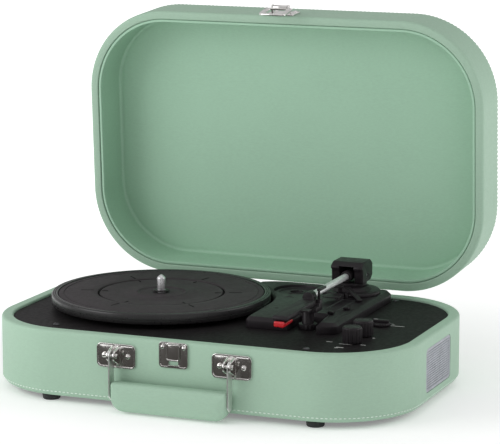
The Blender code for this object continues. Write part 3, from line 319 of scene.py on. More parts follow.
class Shape:
    """Mesh under construction, in the model's own frame."""

    def __init__(self):
        self.mesh = bmesh.new()

    def ring(self, points):
        return [self.mesh.verts.new(point) for point in points]

    def bridge(self, first, second):
        count = len(first)
        for k in range(count):
            self.mesh.faces.new((first[k], first[(k + 1) % count], second[(k + 1) % count], second[k]))

    def skin(self, rings):
        """Surface through a row of rings with the same number of points, closed at both ends."""
        made = [self.ring(points) for points in rings]
        for first, second in zip(made, made[1:]):
            self.bridge(first, second)
        self.mesh.faces.new(made[0][::-1])
        self.mesh.faces.new(made[-1])
        return self

    def sweep(self, profile, outline):
        """Closed band: profile points are (inset, height) and outline(inset) gives each loop."""
        rings = [self.ring([Vector((x, y + CASE_Y, z + CASE_Z)) for x, y in outline(inset)])
                 for inset, z in profile]
        for first, second in zip(rings, rings[1:] + rings[:1]):
            self.bridge(first, second)
        return self

    def prism(self, outline, low, high, plane="XY", holes=()):
        """Straight-sided plate between two levels."""
        place = PLANES[plane]
        rows = []
        for loop in (outline,) + tuple(holes):
            rows.append([self.ring([place(u, v, level) for u, v in loop]) for level in (low, high)])
        for bottom, top in rows:
            self.bridge(bottom, top)
        for index in (0, 1):
            edges = []
            for row in rows:
                loop = row[index]
                edges += [self.mesh.edges.get(pair) for pair in zip(loop, loop[1:] + loop[:1])]
            if len(rows) == 1:
                self.mesh.faces.new(rows[0][index])
            else:
                bmesh.ops.triangle_fill(self.mesh, use_beauty=True, use_dissolve=True, edges=edges)
        return self

    def lathe(self, profile, centre, axis="Z", steps=64, ripple=None):
        """Solid turned from (radius, height) points, first and last on the axis or joined up."""
        turn = {"X": Matrix.Rotation(radians(90), 4, "Y"), "Y": Matrix.Rotation(radians(90), 4, "X"),
                "Z": Matrix.Identity(4)}[axis]
        frame_of = Matrix.Translation(centre) @ turn
        rings = []
        for radius, height in profile:
            if radius < 1e-9:
                rings.append([self.mesh.verts.new(frame_of @ Vector((0, 0, height)))])
                continue
            ring = []
            for k in range(steps):
                angle = 2 * pi * k / steps
                reach = radius - (ripple(angle, height) if ripple else 0)
                spot = Vector((reach * cos(angle), reach * sin(angle), height))
                ring.append(self.mesh.verts.new(frame_of @ spot))
            rings.append(ring)
        pairs = list(zip(rings, rings[1:]))
        if len(rings[0]) > 1:
            pairs.append((rings[-1], rings[0]))
        for first, second in pairs:
            if len(first) == 1 and len(second) == 1:
                continue
            if len(first) == 1 or len(second) == 1:
                tip, ring = (first[0], second) if len(first) == 1 else (second[0], first)
                for k in range(steps):
                    self.mesh.faces.new((tip, ring[k], ring[(k + 1) % steps]))
            else:
                self.bridge(first, second)
        return self

    def box(self, low, high):
        low, high = Vector(low), Vector(high)
        self.prism([(low.x, low.y), (high.x, low.y), (high.x, high.y), (low.x, high.y)], low.z, high.z)
        return self

    def add(self, other):
        """Take in another shape's mesh."""
        mesh = bpy.data.meshes.new("part")
        other.mesh.to_mesh(mesh)
        self.mesh.from_mesh(mesh)
        other.mesh.free()
        bpy.data.meshes.remove(mesh)
        return self

    def move(self, matrix):
        self.mesh.transform(matrix)
        return self

    def plain(self, name):
        """Turn it into a bare object, to cut or to cut with."""
        bmesh.ops.recalc_face_normals(self.mesh, faces=self.mesh.faces)
        mesh = bpy.data.meshes.new(name)
        self.mesh.to_mesh(mesh)
        self.mesh.free()
        return placed(name, mesh)

    def done(self, name, slot, body, *replaced, bevel=0, segments=2, angle=35, material=None, smooth=35):
        """Turn it into a piece that rides a body and stands for CAD nodes."""
        thing = self.plain(name)
        if bevel:
            soften(thing, bevel, segments, angle)
        thing.data.materials.append(material or MATERIALS[slot])
        smoothed(thing.data, smooth)
        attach(thing, body)
        if replaced:
            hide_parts(*replaced)
        return thing


def bake(thing):
    """Swap an object's mesh for what its modifiers make of it."""
    graph = bpy.context.evaluated_depsgraph_get()
    mesh = bpy.data.meshes.new_from_object(thing.evaluated_get(graph))
    thing.modifiers.clear()
    thing.data = mesh


def soften(thing, width, segments, angle):
    """Round the edges sharper than an angle in degrees; the width is in millimetres."""
    modifier = thing.modifiers.new("Bevel", "BEVEL")
    modifier.width = width * MM
    modifier.segments = segments
    modifier.limit_method = "ANGLE"
    modifier.angle_limit = radians(angle)
    modifier.harden_normals = False
    bake(thing)


def cut(thing, *shapes):
    """Take shapes out of an object, one after another."""
    for shape in shapes:
        tool = shape.plain("tool")
        modifier = thing.modifiers.new("Cut", "BOOLEAN")
        modifier.operation = "DIFFERENCE"
        modifier.solver = "EXACT"
        modifier.object = tool
        bake(thing)
        bpy.data.objects.remove(tool)


def refined(node, width, segments=2):
    """Copy of a CAD node with its faces cleaned up and its edges rounded."""
    shape = Shape()
    shape.mesh.from_mesh(NODES[node].data)
    bmesh.ops.remove_doubles(shape.mesh, verts=shape.mesh.verts, dist=1e-6)
    bmesh.ops.dissolve_limit(shape.mesh, angle_limit=radians(0.6), verts=shape.mesh.verts,
                             edges=shape.mesh.edges)
    shape.done(node + "_finish", SLOT_OF[node], BODY_OF[node], node, bevel=width, segments=segments,
               angle=32)


# ---- wrapped case ----------------------------------------------------------------------
def fillet(inset, z, radius, start, end, steps=6):
    """Rounding in the (inset, height) section; 0 degrees points outwards and 90 up."""
    return [(inset - radius * cos(a), z + radius * sin(a))
            for a in [radians(start + (end - start) * k / steps) for k in range(steps + 1)]]


def along(low, high, steps):
    return [low + (high - low) * k / steps for k in range(steps + 1)]


GRILLE_LOW, GRILLE_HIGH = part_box("grille_right")
GRILLE_Y = (GRILLE_LOW.y + GRILLE_HIGH.y) / 2
GRILLE_Z = (GRILLE_LOW.z + GRILLE_HIGH.z) / 2
GRILLE_HALF = ((GRILLE_HIGH.y - GRILLE_LOW.y) / 2, (GRILLE_HIGH.z - GRILLE_LOW.z) / 2)
GRILLE_RADIUS = 4
GRILLE_HOLE = 0.62 * MM


def grille_loop(margin):
    """Outline of the grille, larger by a margin in millimetres."""
    half_y, half_z = GRILLE_HALF[0] + margin * MM, GRILLE_HALF[1] + margin * MM
    return rounded(GRILLE_Y - half_y, GRILLE_Z - half_z, GRILLE_Y + half_y, GRILLE_Z + half_z,
                   (GRILLE_RADIUS + margin) * MM)


def wrapped_base():
    profile = [(BASE_WALL, 0), (7.5 * MM, 0)] + fillet(6 * MM, 6 * MM, 6 * MM, -90, 0, 8)
    profile += [(0, z) for z in along(10 * MM, BASE_HEIGHT - 6 * MM, 4)]
    profile += fillet(2.2 * MM, BASE_HEIGHT - 2.2 * MM, 2.2 * MM, 0, 90, 6)
    profile += [(BASE_WALL - 1.8 * MM, BASE_HEIGHT)]
    profile += fillet(BASE_WALL - 1.5 * MM, BASE_HEIGHT - 1.5 * MM, 1.5 * MM, 90, 180, 4)
    thing = Shape().sweep(profile, case_outline).plain("base_wrap")
    for side in (-1, 1):
        seat, inside, outside = (side * (HALF_X + step * MM) for step in (-1.45, -16, 4))
        cut(thing, Shape().prism(grille_loop(0.3), min(seat, outside), max(seat, outside), "YZ"),
            Shape().prism(grille_loop(-1.6), min(inside, outside), max(inside, outside), "YZ"))
    window = rounded(-62 * MM, CASE_Z + 18 * MM, -22 * MM, CASE_Z + 36 * MM, 2 * MM)
    cut(thing, Shape().prism(window, CASE_Y + HALF_Y - 16 * MM, CASE_Y + HALF_Y + 4 * MM, "XZ"))
    shape = Shape()
    shape.mesh.from_mesh(thing.data)
    bpy.data.objects.remove(thing)
    shape.done("base_wrap", "leatherette", "case", "lower_case", smooth=40)


def wrapped_lid():
    """Built as it lies when shut, then opened: the wrap, the wall liner and the padded panel."""
    low, high = LID_LOW, LID_HIGH
    profile = [(30 * MM, high - 4 * MM), (LID_WALL, high - 4 * MM), (LID_WALL, low + 2.2 * MM),
               (7 * MM, low + 2.2 * MM), (7 * MM, low + 0.9 * MM)]
    profile += fillet(6.2 * MM, low + 0.8 * MM, 0.8 * MM, 180, 270, 3)
    profile += fillet(2.2 * MM, low + 2.2 * MM, 2.2 * MM, 270, 360, 6)
    profile += [(0, z) for z in along(low + 8 * MM, high - 10 * MM, 3)]
    profile += fillet(6 * MM, high - 6 * MM, 6 * MM, 0, 90, 8) + [(8 * MM, high), (30 * MM, high)]
    rings = [[Vector((x, y + CASE_Y, z + CASE_Z)) for x, y in case_outline(inset)] for inset, z in profile]
    # The wrap wears the leatherette painted 8% darker, as shade against the stronger light the raised lid gets.
    Shape().skin(rings).move(OPENED).done("lid_wrap", "leatherette", "lid", "lid_shell", smooth=40,
                                          material=LID_SKIN_SHADED)
    face = high - 5.2 * MM
    liner = [(7.5 * MM, low + 2.15 * MM), (7.5 * MM, low + 1.5 * MM)]
    liner += fillet(8.1 * MM, low + 1.5 * MM, 0.6 * MM, 0, -90, 3)
    liner += fillet(9.1 * MM, low + 1.5 * MM, 0.6 * MM, 270, 180, 3)
    liner += [(9.7 * MM, z) for z in along(low + 8 * MM, face - 5 * MM, 4)]
    liner += fillet(11.9 * MM, face - 3.7 * MM, 2.2 * MM, 0, 90, 6)
    liner += [(13.4 * MM, face - 1.54 * MM), (13.4 * MM, face - 0.4 * MM), (8.9 * MM, face - 0.4 * MM),
              (8.9 * MM, low + 2.15 * MM)]
    Shape().sweep(liner, case_outline).move(OPENED).done("lid_wall_liner", "lining", "lid", smooth=40)
    panel = [(30 * MM, high - 4.3 * MM), (9.2 * MM, high - 4.3 * MM), (9.2 * MM, face + 0.2 * MM)]
    panel += [(9.6 * MM, face - 0.3 * MM), (10.6 * MM, face - 0.9 * MM), (11.6 * MM, face - 1.3 * MM),
              (12.6 * MM, face - 1.56 * MM), (15 * MM, face - 1.68 * MM), (22 * MM, face - 1.75 * MM),
              (36 * MM, face - 1.8 * MM), (70 * MM, face - 1.85 * MM)]
    rings = [[Vector((x, y + CASE_Y, z + CASE_Z)) for x, y in case_outline(inset)] for inset, z in panel]
    Shape().skin(rings).move(OPENED).done("lid_padded_panel", "lining", "lid", "lid_lining", smooth=50)


STITCH_PITCH = 3.6 * MM
STITCH_INSET = 0.15 * MM
STITCH_LEVEL = 4.4 * MM      # from the underside of the case and from the top of the lid
STITCH_HALF = (1.25 * MM, 0.36 * MM, 0.34 * MM)      # half a thread's length, width and height


def stitches(name, inset, z, body, matrix=None):
    """Row of raised threads round the outline, with needle gaps between them."""
    points = [Vector((x, y, 0)) for x, y in case_outline(inset)]
    lengths = [(points[(k + 1) % len(points)] - points[k]).length for k in range(len(points))]
    total = sum(lengths)
    count = int(total / STITCH_PITCH)
    pitch = total / count
    shape = Shape()
    travelled, leg = 0.0, 0
    for number in range(count):
        target = (number + 0.5) * pitch
        while travelled + lengths[leg] < target:
            travelled += lengths[leg]
            leg += 1
        start, end = points[leg], points[(leg + 1) % len(points)]
        along_leg = (end - start).normalized()
        spot = start + along_leg * (target - travelled)
        turn = Matrix.Rotation(atan2(along_leg.y, along_leg.x), 4, "Z")
        place = Matrix.Translation((spot.x, spot.y + CASE_Y, z + CASE_Z)) @ turn
        place = place @ Matrix.Diagonal(STITCH_HALF + (1,))
        bmesh.ops.create_uvsphere(shape.mesh, u_segments=8, v_segments=6, radius=1, matrix=place)
    if matrix is not None:
        shape.move(matrix)
    shape.done(name, "leatherette", body, material=THREAD, smooth=80)


# ---- grilles ---------------------------------------------------------------------------
def grille(side, name):
    """Moulded frame round a field of small round holes."""
    face = side * (HALF_X - 0.2 * MM)
    rear = side * (HALF_X - 1.3 * MM)
    lip = Shape().prism(grille_loop(0), min(face, rear), max(face, rear), "YZ", [grille_loop(-2.2)[::-1]])
    lip.done("grille_frame_" + name, "grey_plastic", "case", "grille_" + name, bevel=0.3)
    half_y, half_z = GRILLE_HALF[0] - 2.0 * MM, GRILLE_HALF[1] - 2.0 * MM
    columns, rows = 30, 16
    step_y, step_z = 2 * half_y / columns, 2 * half_z / rows
    front, back = side * (HALF_X - 0.5 * MM), side * (HALF_X - 1.1 * MM)
    shape = Shape()
    square = ((1, 0), (1, 1), (0, 1), (-1, 1), (-1, 0), (-1, -1), (0, -1), (1, -1))
    for column in range(columns):
        for row in range(rows):
            y = GRILLE_Y - half_y + (column + 0.5) * step_y
            z = GRILLE_Z - half_z + (row + 0.5) * step_z
            outer = shape.ring([Vector((front, y + u * step_y / 2, z + v * step_z / 2)) for u, v in square])
            rim = arc(y, z, GRILLE_HOLE, 0, 315, 7)
            inner = shape.ring([Vector((front, u, v)) for u, v in rim])
            deep = shape.ring([Vector((back, u, v)) for u, v in rim])
            shape.bridge(outer, inner)
            shape.bridge(inner, deep)
    bmesh.ops.remove_doubles(shape.mesh, verts=shape.mesh.verts, dist=1e-6)
    shape.done("grille_field_" + name, "grey_plastic", "case")


# ---- turntable -------------------------------------------------------------------------
def turntable():
    centre = Vector((PLATTER.x, PLATTER.y, CASE_Z))
    section = [(3.85, 63.4), (86.6, 63.4), (86.6, 65.0), (86.9, 65.4), (87.4, 65.6), (88.1, 65.65),
               (88.3, 65.4), (88.6, 65.4), (88.8, 65.65), (89.7, 65.65), (89.9, 65.4), (90.2, 65.4),
               (90.5, 65.55), (91.0, 65.35), (91.4, 64.95), (91.6, 64.4), (91.6, 60.9), (91.35, 60.7),
               (91.35, 60.4), (91.6, 60.2), (91.6, 57.8), (91.4, 57.3), (90.9, 57.0), (88.8, 57.0),
               (88.8, 61.0), (47.5, 61.0), (47.5, 55.4), (44.5, 55.4), (44.5, 61.0), (9.5, 61.0),
               (9.5, 54.8), (3.85, 54.8)]
    Shape().lathe([(r * MM, z * MM) for r, z in section], centre, steps=192).done(
        "platter_rim", "black_plastic", "platter", "platter", material=GLOSS, smooth=30)
    section = [(4.2, 64.4), (4.6, 64.6), (10, 64.6), (18.6, 64.5), (19.4, 64.95), (20.0, 65.25),
               (21.0, 65.25), (21.6, 64.95), (22.2, 64.6), (38, 64.4), (51.2, 64.75), (51.6, 63.9),
               (53.2, 63.9), (53.5, 64.9), (54.0, 65.15), (60, 65.2), (80.6, 65.2), (80.9, 64.8),
               (81.5, 64.8), (81.8, 65.25), (84.9, 65.25), (85.6, 65.05), (86.0, 64.7), (86.2, 64.3),
               (86.2, 63.7), (4.2, 63.7)]
    Shape().lathe([(r * MM, z * MM) for r, z in section], centre, steps=192).done(
        "ribbed_mat", "black_rubber", "platter", "platter_mat", material=MAT, smooth=30)
    # Painted shade: black dashes where the mat has slots, and black rings in its grooves and in the gap to the
    # rim, for the shadow in them.
    shade_pieces = Shape()
    for number in range(6):
        turn = Matrix.Translation(centre) @ Matrix.Rotation(radians(60 * number + 17), 4, "Z")
        one = Shape()
        one.prism(rounded(57 * MM, -0.6 * MM, 68 * MM, 0.6 * MM, 0.5 * MM, 3), 65.0 * MM, 65.28 * MM)
        one.prism(rounded(45 * MM, -0.45 * MM, 50 * MM, 0.45 * MM, 0.4 * MM, 3), 64.3 * MM, 64.9 * MM)
        one.move(turn)
        shade_pieces.add(one)
    grooves = ((51.75, 53.1, 64.1), (85.95, 86.7, 64.9), (88.3, 88.6, 65.44), (89.9, 90.2, 65.44))
    for inner, outer, level in grooves:
        shade_pieces.lathe([(inner * MM, level * MM), (outer * MM, level * MM), (outer * MM, (level - 0.3) * MM),
                     (inner * MM, (level - 0.3) * MM)], centre, steps=192)
    shade_pieces.done("mat_slot_and_groove_shade", "black_rubber", "platter", material=GROOVE_SHADE_BLACK)
    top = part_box("spindle")[1].z - CASE_Z
    pin = [(0, top), (0.8 * MM, top - 0.15 * MM), (2.0 * MM, top - 1.1 * MM), (3.1 * MM, top - 2.2 * MM),
           (3.5 * MM, top - 2.8 * MM), (3.6 * MM, top - 3.4 * MM),
           (3.6 * MM, 67.6 * MM), (3.35 * MM, 67.4 * MM), (3.35 * MM, 67.0 * MM), (3.6 * MM, 66.9 * MM),
           (3.6 * MM, 54.3 * MM), (8 * MM, 54.3 * MM), (8 * MM, 53 * MM), (5 * MM, 53 * MM),
           (5 * MM, 46 * MM), (0, 46 * MM)]
    Shape().lathe(pin, centre, steps=48).done("turned_spindle", "chrome", "case", "spindle", material=TURNED,
                                              smooth=30)


# ---- controls ----------------------------------------------------------------------------
def tall_knob(node):
    spot = middle(node)
    centre = Vector((spot.x, spot.y, CASE_Z))

    def ripple(angle, height):
        return (0.55 * MM * max(0, cos(16 * angle)) ** 2) if height < 64.9 * MM else 0
    section = [(0, 65.75), (4.6, 65.75), (4.9, 65.6), (5.2, 65.75), (6.6, 66.0), (7.0, 65.9), (7.35, 65.5),
               (7.5, 65.0), (8.0, 64.5), (8.0, 60), (8.0, 55.4), (7.9, 53.8), (7.2, 53.4), (0, 53.4)]
    Shape().lathe([(r * MM, z * MM) for r, z in section], centre, steps=192, ripple=ripple).done(
        node + "_fluted", "black_plastic", BODY_OF[node], node, smooth=35)


def bar_knob(node):
    spot = middle(node)
    x, y = spot.x, spot.y
    base = CASE_Z + 53.3 * MM
    dial = [(0, 0), (7.5 * MM, 0), (7.6 * MM, 0.3 * MM), (7.5 * MM, 1.7 * MM), (7.1 * MM, 2.2 * MM),
            (0, 2.2 * MM)]
    shape = Shape().lathe(dial, Vector((x, y, base)), steps=96,
                          ripple=lambda angle, height: 0.2 * MM * max(0, cos(24 * angle)) ** 2)
    shape.done(node + "_dial", "black_plastic", BODY_OF[node], node, smooth=35)
    grip = Shape().prism(rounded(x - 6.7 * MM, y - 2 * MM, x + 6.7 * MM, y + 2 * MM, 1.8 * MM),
                         base + 1.6 * MM, base + 4.6 * MM)
    grip.done(node + "_grip", "black_plastic", BODY_OF[node], bevel=0.7, segments=3)
    line = Shape().prism(rounded(x - 6.3 * MM, y - 0.3 * MM, x - 2.6 * MM, y + 0.3 * MM, 0.25 * MM, 3),
                         base + 4.5 * MM, base + 4.66 * MM)
    line.done(node + "_pointer", "black_plastic", BODY_OF[node], material=INK)


def screw(node):
    """Pan head with a cross recess."""
    low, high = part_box(node)
    x, y = (low.x + high.x) / 2, (low.y + high.y) / 2
    z = PLINTH_TOP
    shape = Shape().lathe([(0, 1.6 * MM), (1.2 * MM, 1.5 * MM), (2.2 * MM, 1.05 * MM), (2.9 * MM, 0.3 * MM),
                           (2.7 * MM, 0.05 * MM), (1.3 * MM, 0.05 * MM), (1.3 * MM, -6 * MM), (0, -7 * MM)],
                          Vector((x, y, z)), steps=32)
    thing = shape.done(node + "_head", "black_steel", "case", node, smooth=35)
    for a, b in ((1.7, 0.32), (0.32, 1.7)):
        cut(thing, Shape().box((x - a * MM, y - b * MM, z + 0.7 * MM), (x + a * MM, y + b * MM, z + 3 * MM)))
    smoothed(thing.data, 35)


def printed_marks():
    """Plain scale ticks by the knobs, in place of the lettering."""
    top = PLINTH_TOP
    shape = Shape()
    ticks = [(107.6, 112.7, -63, 0.35), (119.5, 130.6, -66.7, 0.35), (136.4, 140.8, -64, 0.35),
             (121.5, 127.5, -78.4, 0.4), (120.6, 123.4, -80.4, 0.4), (136, 148, 9, 0.35),
             (126.5, 128.6, -42.2, 0.5), (137.4, 139.4, -38.4, 0.5)]
    for x0, x1, y, half in ticks:      # left, right, middle and half width in millimetres
        a, b = at(x0, y - half, 0), at(x1, y + half, 0)
        shape.prism(rounded(a.x, a.y, b.x, b.y, half * 0.8 * MM, 3), top - 0.02 * MM, top + 0.06 * MM)
    for k in range(7):
        angle = radians(48 + 24 * k)
        spot = at(129 + 11 * cos(angle), 6 + 11 * sin(angle), 0)
        long, wide = 1.2 * MM, 0.28 * MM
        shape.prism(rounded(spot.x - long, spot.y - wide, spot.x + long, spot.y + wide, 0.2 * MM, 3),
                    top - 0.02 * MM, top + 0.06 * MM)
    shape.done("printed_ticks", "black_plastic", "case", material=INK)


# ---- deck and arm ----------------------------------------------------------------------------
def deck_and_arm():
    # how wide each edge is rounded, in millimetres
    for node, width in (("tonearm_deck", 0.5), ("tonearm_housing", 0.55), ("headshell", 0.45),
                        ("cartridge", 0.3), ("stylus", 0.4), ("arm_rest", 0.35), ("arm_rest_clip", 0.35),
                        ("cue_lift", 0.3), ("cue_lever", 0.3), ("cue_stand", 0.3), ("speed_selector", 0.3),
                        ("auto_stop_switch", 0.3), ("tonearm_base", 0.25), ("adapter_45", 0.25),
                        ("tonearm_tube", 0.12)):
        refined(node, width)
    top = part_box("tonearm_deck")[1].z
    shape = Shape()
    arrow = [(at(x, y, 0).x, at(x, y, 0).y) for x, y in ((40.5, 17.5), (48.5, 19), (43, 24))]
    shape.prism(arrow, top - 0.05 * MM, top + 0.12 * MM)
    shape.lathe([(0, 0.12 * MM), (1.5 * MM, 0.12 * MM), (1.7 * MM, -0.05 * MM), (0, -0.05 * MM)],
                Vector((at(50, -24, 0).x, at(50, -24, 0).y, top)), steps=24)
    shape.done("deck_arrow", "black_plastic", "case", material=MATERIALS["card"])
    low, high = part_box("tonearm_tube")
    sleeve = [(2.85 * MM, 0), (4.4 * MM, 0), (4.7 * MM, 0.3 * MM), (4.7 * MM, 25.2 * MM),
              (4.2 * MM, 26 * MM), (2.85 * MM, 26 * MM)]
    rear = Vector(((low.x + high.x) / 2, high.y + 0.3 * MM, JOINTS["arm_lift"]["pos_m"][2]))
    Shape().lathe(sleeve, rear, axis="Y", steps=48).done("arm_sleeve", "black_plastic", "arm")
    low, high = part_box("stylus")
    x = (low.x + high.x) / 2
    nose = [(low.y + 1.4 * MM, low.z + 0.8 * MM), (low.y + 4.4 * MM, low.z - 1.15 * MM),
            (low.y + 5.4 * MM, low.z - 1.15 * MM), (low.y + 9.5 * MM, low.z + 0.8 * MM)]
    Shape().prism(nose, x - 1.7 * MM, x + 1.7 * MM, "YZ").done("stylus_nose", "red_plastic", "arm",
                                                               bevel=0.25)
    pad = Shape()
    a, b = at(69, 28, 0), at(84, 41, 0)
    pad.prism(rounded(a.x, a.y, b.x, b.y, 3 * MM), top - 0.05 * MM, top + 0.7 * MM)
    a, b = at(88, -3, 0), at(100, 26, 0)
    hollow = rounded(a.x + 1.2 * MM, a.y - 10.8 * MM, b.x - 1.2 * MM, b.y - 1.2 * MM, 2 * MM)
    pad.prism(rounded(a.x, a.y - 12 * MM, b.x, b.y, 3 * MM), top - 0.05 * MM, top + 0.25 * MM,
              holes=[hollow[::-1]])
    pad.done("deck_pad", "black_plastic", "case", bevel=0.2)


# ---- bright fittings -----------------------------------------------------------------------------
def inset_loop(left, low, right, high, radius, inset):
    return rounded(left + inset, low + inset, right - inset, high - inset, max(radius - inset, 0.3 * MM))


def dished(shape, left, low, right, high, radius, face, back, rim=1.3, drop=0.65, hole=None):
    """Pressed plate in the XZ plane with a raised rim, facing -Y."""
    inner = inset_loop(left, low, right, high, radius, rim * MM)
    shape.prism(inset_loop(left, low, right, high, radius, 0), face, back, "XZ", [inner[::-1]])
    floor = inset_loop(left, low, right, high, radius, (rim - 0.3) * MM)
    shape.prism(floor, face + drop * MM, back - 0.02 * MM, "XZ", [hole[::-1]] if hole else ())


def rivets(shape, spots, face, radius=2.2):
    for x, z in spots:
        shape.lathe([(0, 1.9 * MM), (radius * 0.45 * MM, 1.75 * MM), (radius * 0.8 * MM, 1.2 * MM),
                     (radius * MM, 0.35 * MM), (radius * MM, -0.2 * MM), (0, -0.2 * MM)],
                    Vector((x, face, z)), axis="Y", steps=28)


def carry_bracket(node):
    low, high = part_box(node)
    x = (low.x + high.x) / 2
    back = FRONT_FACE - 0.3 * MM
    face = back - 1.3 * MM
    pin = Vector(JOINTS["handle_swing"]["pos_m"])
    shape = Shape()
    dished(shape, low.x, low.z, high.x, high.z, 4 * MM, face, back)
    for side in (-1, 1):
        a, b = sorted((x + side * 1.8 * MM, x + side * 3.3 * MM))
        ear = [(face + 0.6 * MM, low.z + 2.6 * MM), (face + 0.6 * MM, high.z - 1 * MM)]
        ear += arc(pin.y, pin.z, 4.6 * MM, 90, 225, 12)
        shape.prism(ear, a, b, "YZ")
    headed_pin = [(0, -4.4), (1.9, -4.2), (2.2, -3.5), (1.5, -3.3),
                  (1.5, 3.3), (2.2, 3.5), (1.9, 4.2), (0, 4.4)]
    shape.lathe([(r * MM, z * MM) for r, z in headed_pin], Vector((x, pin.y, pin.z)), axis="X", steps=28)
    level = (low.z + high.z) / 2
    rivets(shape, [(x - 10.2 * MM, level), (x + 10.2 * MM, level)], face + 0.3 * MM)
    shape.done(node + "_pressed", "chrome", "case", node, bevel=0.4, segments=3)


def latch_fittings():
    low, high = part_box("latch_plate")
    back = FRONT_FACE - 0.3 * MM
    face = back - 1.2 * MM
    shape = Shape()
    slot_low = at(0, 0, 35.2).z
    slot = rounded(-4 * MM, slot_low, 4 * MM, slot_low + 15.8 * MM, 0.6 * MM)
    dished(shape, low.x, low.z, high.x, high.z, 3 * MM, face, back, 1.1, 0.55, slot)
    rivets(shape, [(-9.0 * MM, high.z - 4 * MM), (9.0 * MM, high.z - 4 * MM)], face + 0.3 * MM, 1.9)
    shape.prism(rounded(-5 * MM, slot_low - 0.9 * MM, 5 * MM, slot_low + 0.5 * MM, 0.4 * MM),
                face - 0.1 * MM, back, "XZ")
    shape.done("latch_plate_pressed", "chrome", "case", "latch_plate", bevel=0.33, segments=3)
    low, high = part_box("latch_tongue")
    shape = Shape()
    dished(shape, low.x, low.z, high.x, high.z, 2.2 * MM, low.y, low.y + 1.3 * MM, 1.1, 0.6)
    shape.prism(rounded(-3.6 * MM, low.z + 0.6 * MM, 3.6 * MM, high.z - 3 * MM, 0.4 * MM),
                low.y + 1.1 * MM, high.y, "XZ")
    shape.done("latch_tongue_pressed", "chrome", "latch_tongue", "latch_tongue", bevel=0.33, segments=3)
    for node, width in (("lid_latch_plate", 0.25), ("latch_hasp", 0.35), ("hinge_lower_leaf_left", 0.3),
                        ("hinge_lower_leaf_right", 0.3), ("hinge_upper_leaf_left", 0.3),
                        ("hinge_upper_leaf_right", 0.3), ("jack_panel", 0.35)):
        refined(node, width)
    for node in NODES:
        if node.startswith("foot_"):
            refined(node, 0.8, 3)


# ---- handle --------------------------------------------------------------------------------------
def handle():
    low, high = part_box("handle_grip")
    pin = Vector(JOINTS["handle_swing"]["pos_m"])
    half_x = high.x - 0.5 * MM
    depth = (high.y - low.y) / 2
    edge, crown, reach = 3.2 * MM, 1.0 * MM, 10.4 * MM
    half = [(0, 0), (0, 0.4 * (depth - crown - edge))]
    half += [(edge * (1 - cos(a)), depth - crown - edge + edge * sin(a)) for a in along(0, pi / 2, 6)]
    half += [(edge + (reach - edge) * t, depth - crown * (1 - t) ** 2) for t in (0.2, 0.45, 0.7, 1.0)]
    rings = []
    for inset, y in [(inset, -y) for inset, y in half[:0:-1]] + half:
        bottom, top = (max(radius * MM - inset, 0.25 * MM) for radius in (11, 2.6))
        loop = rounded(-half_x + inset, low.z + inset, half_x - inset, high.z - inset,
                       (bottom, bottom, top, top), 10)
        rings.append([Vector((x, pin.y + y, z)) for x, z in loop])
    grip = Shape().skin(rings).done("handle_grip_padded", "leatherette", "handle", "handle_grip", smooth=70)
    for side, name in ((-1, "left"), (1, "right")):
        node = "handle_arm_" + name
        a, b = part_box(node)
        radius = (b.y - a.y) / 2
        outline = [(pin.y - radius, low.z + 11.5 * MM), (pin.y - radius + 3.4 * MM, low.z + 8 * MM),
                   (pin.y + radius - 3.4 * MM, low.z + 8 * MM), (pin.y + radius, low.z + 11.5 * MM)]
        outline += arc(pin.y, pin.z, radius, 0, 180, 20)
        x0, x1 = sorted((side * (half_x + 0.05 * MM), side * (half_x + 1.2 * MM)))
        Shape().prism(outline, x0, x1, "YZ").done(node + "_strap", "chrome", "handle", node, bevel=0.35,
                                                 segments=3, material=MATERIALS["strap"])


# ---- camera, light and floor --------------------------------------------------------
CAMERA_PLACE = (784.8, -1887.0, 508.4)      # millimetres from the middle of the case's underside
CAMERA_AZIMUTH, CAMERA_ELEVATION = 22.14, 10.49
CAMERA_LENS = 182.5
FLOOR_SIZE = 16
GLOW = (0.22, 0.7)           # the floor's own light, close to the object and far from it
GLOW_REACH = (0.24, 0.9)     # metres from the middle at which the one and the other begin
KEY, SIDE, TOP, WORLD = 8.6, 9.0, 2.8, 0.57      # powers of the lights and of the surroundings


def look_from(place, azimuth, elevation):
    camera = placed("camera", bpy.data.cameras.new("camera"))
    camera.location = place
    camera.rotation_euler = (radians(90 - elevation), 0, radians(azimuth))
    camera.data.sensor_width = 36
    camera.data.lens = CAMERA_LENS
    camera.data.clip_start = 0.1
    bpy.context.scene.camera = camera


def area_light(name, place, target, size, power):
    light = bpy.data.lights.new(name, "AREA")
    light.shape = "RECTANGLE"
    light.size, light.size_y = size
    light.energy = power
    lamp = placed(name, light)
    lamp.location = place
    lamp.rotation_euler = (Vector(target) - Vector(place)).to_track_quat("-Z", "Y").to_euler()


def flat_card(name, place, size, material):
    """Level sheet that is no part of the object."""
    mesh = bpy.data.meshes.new(name)
    shape = bmesh.new()
    bmesh.ops.create_grid(shape, x_segments=1, y_segments=1, size=0.5)
    bmesh.ops.scale(shape, vec=(size[0], size[1], 1), verts=shape.verts)
    shape.to_mesh(mesh)
    shape.free()
    card = placed(name, mesh)
    card.location = place
    card.data.materials.append(material)
    return card


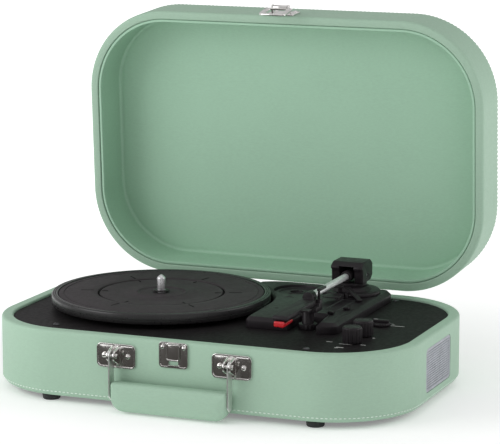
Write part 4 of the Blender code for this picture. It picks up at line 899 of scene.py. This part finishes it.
def studio():
    look_from(at(*CAMERA_PLACE), CAMERA_AZIMUTH, CAMERA_ELEVATION)
    bpy.context.scene.view_settings.view_transform = "Standard"
    area_light("key", (-1.08, -0.92, 0.66), (0, 0, 0.1), (1.0, 0.9), KEY)
    area_light("side", (1.9, 0.8, 1.0), (0, 0, 0.1), (1.2, 1.2), SIDE)
    area_light("top", (0.1, 0.2, 2.0), (0, 0, 0), (1.8, 1.8), TOP)
    world = bpy.data.worlds.new("studio")
    bpy.context.scene.world = world
    world.use_nodes = True
    world.node_tree.nodes["Background"].inputs["Color"].default_value = (1, 1, 1, 1)
    world.node_tree.nodes["Background"].inputs["Strength"].default_value = WORLD
    m = Nodes("floor")
    m.colour(srgb(250, 250, 250), srgb(252, 252, 252), m.spread(m.noise(300 * MM), 0, 1))
    m.set(Roughness=0.9, Specular_IOR_Level=0.0)
    reach = m.add("ShaderNodeVectorMath", operation="LENGTH")
    m.link(m.place, reach.inputs[0])
    m.link(m.spread(reach.outputs["Value"], *GLOW, *GLOW_REACH), m.shader.inputs["Emission Strength"])
    m.set(Emission_Color=(1, 1, 1, 1))
    flat_card("floor", (0, 0, 0), (FLOOR_SIZE, FLOOR_SIZE), m.material)
    # Only the bright metal sees this dark card, in its reflections.
    dark = plastic("black_cloth", srgb(60, 56, 52), 0.9, 5)
    card = flat_card("front_card", (-0.35, -0.58, 0.004), (1.4, 0.84), dark)
    card.visible_camera = False
    card.visible_diffuse = False
    card.visible_shadow = False


wrapped_base()
wrapped_lid()
stitches("base_stitching", STITCH_INSET, STITCH_LEVEL, "case")
stitches("lid_stitching", STITCH_INSET, LID_HIGH - STITCH_LEVEL, "lid", OPENED)
for side, name in ((-1, "left"), (1, "right")):
    grille(side, name)
turntable()
tall_knob("volume_knob")
tall_knob("pitch_knob")
bar_knob("function_knob")
for number in (1, 2, 3):
    screw("plinth_screw_%d" % number)
printed_marks()
deck_and_arm()
for name in ("left", "right"):
    carry_bracket("handle_bracket_" + name)
latch_fittings()
handle()
studio()
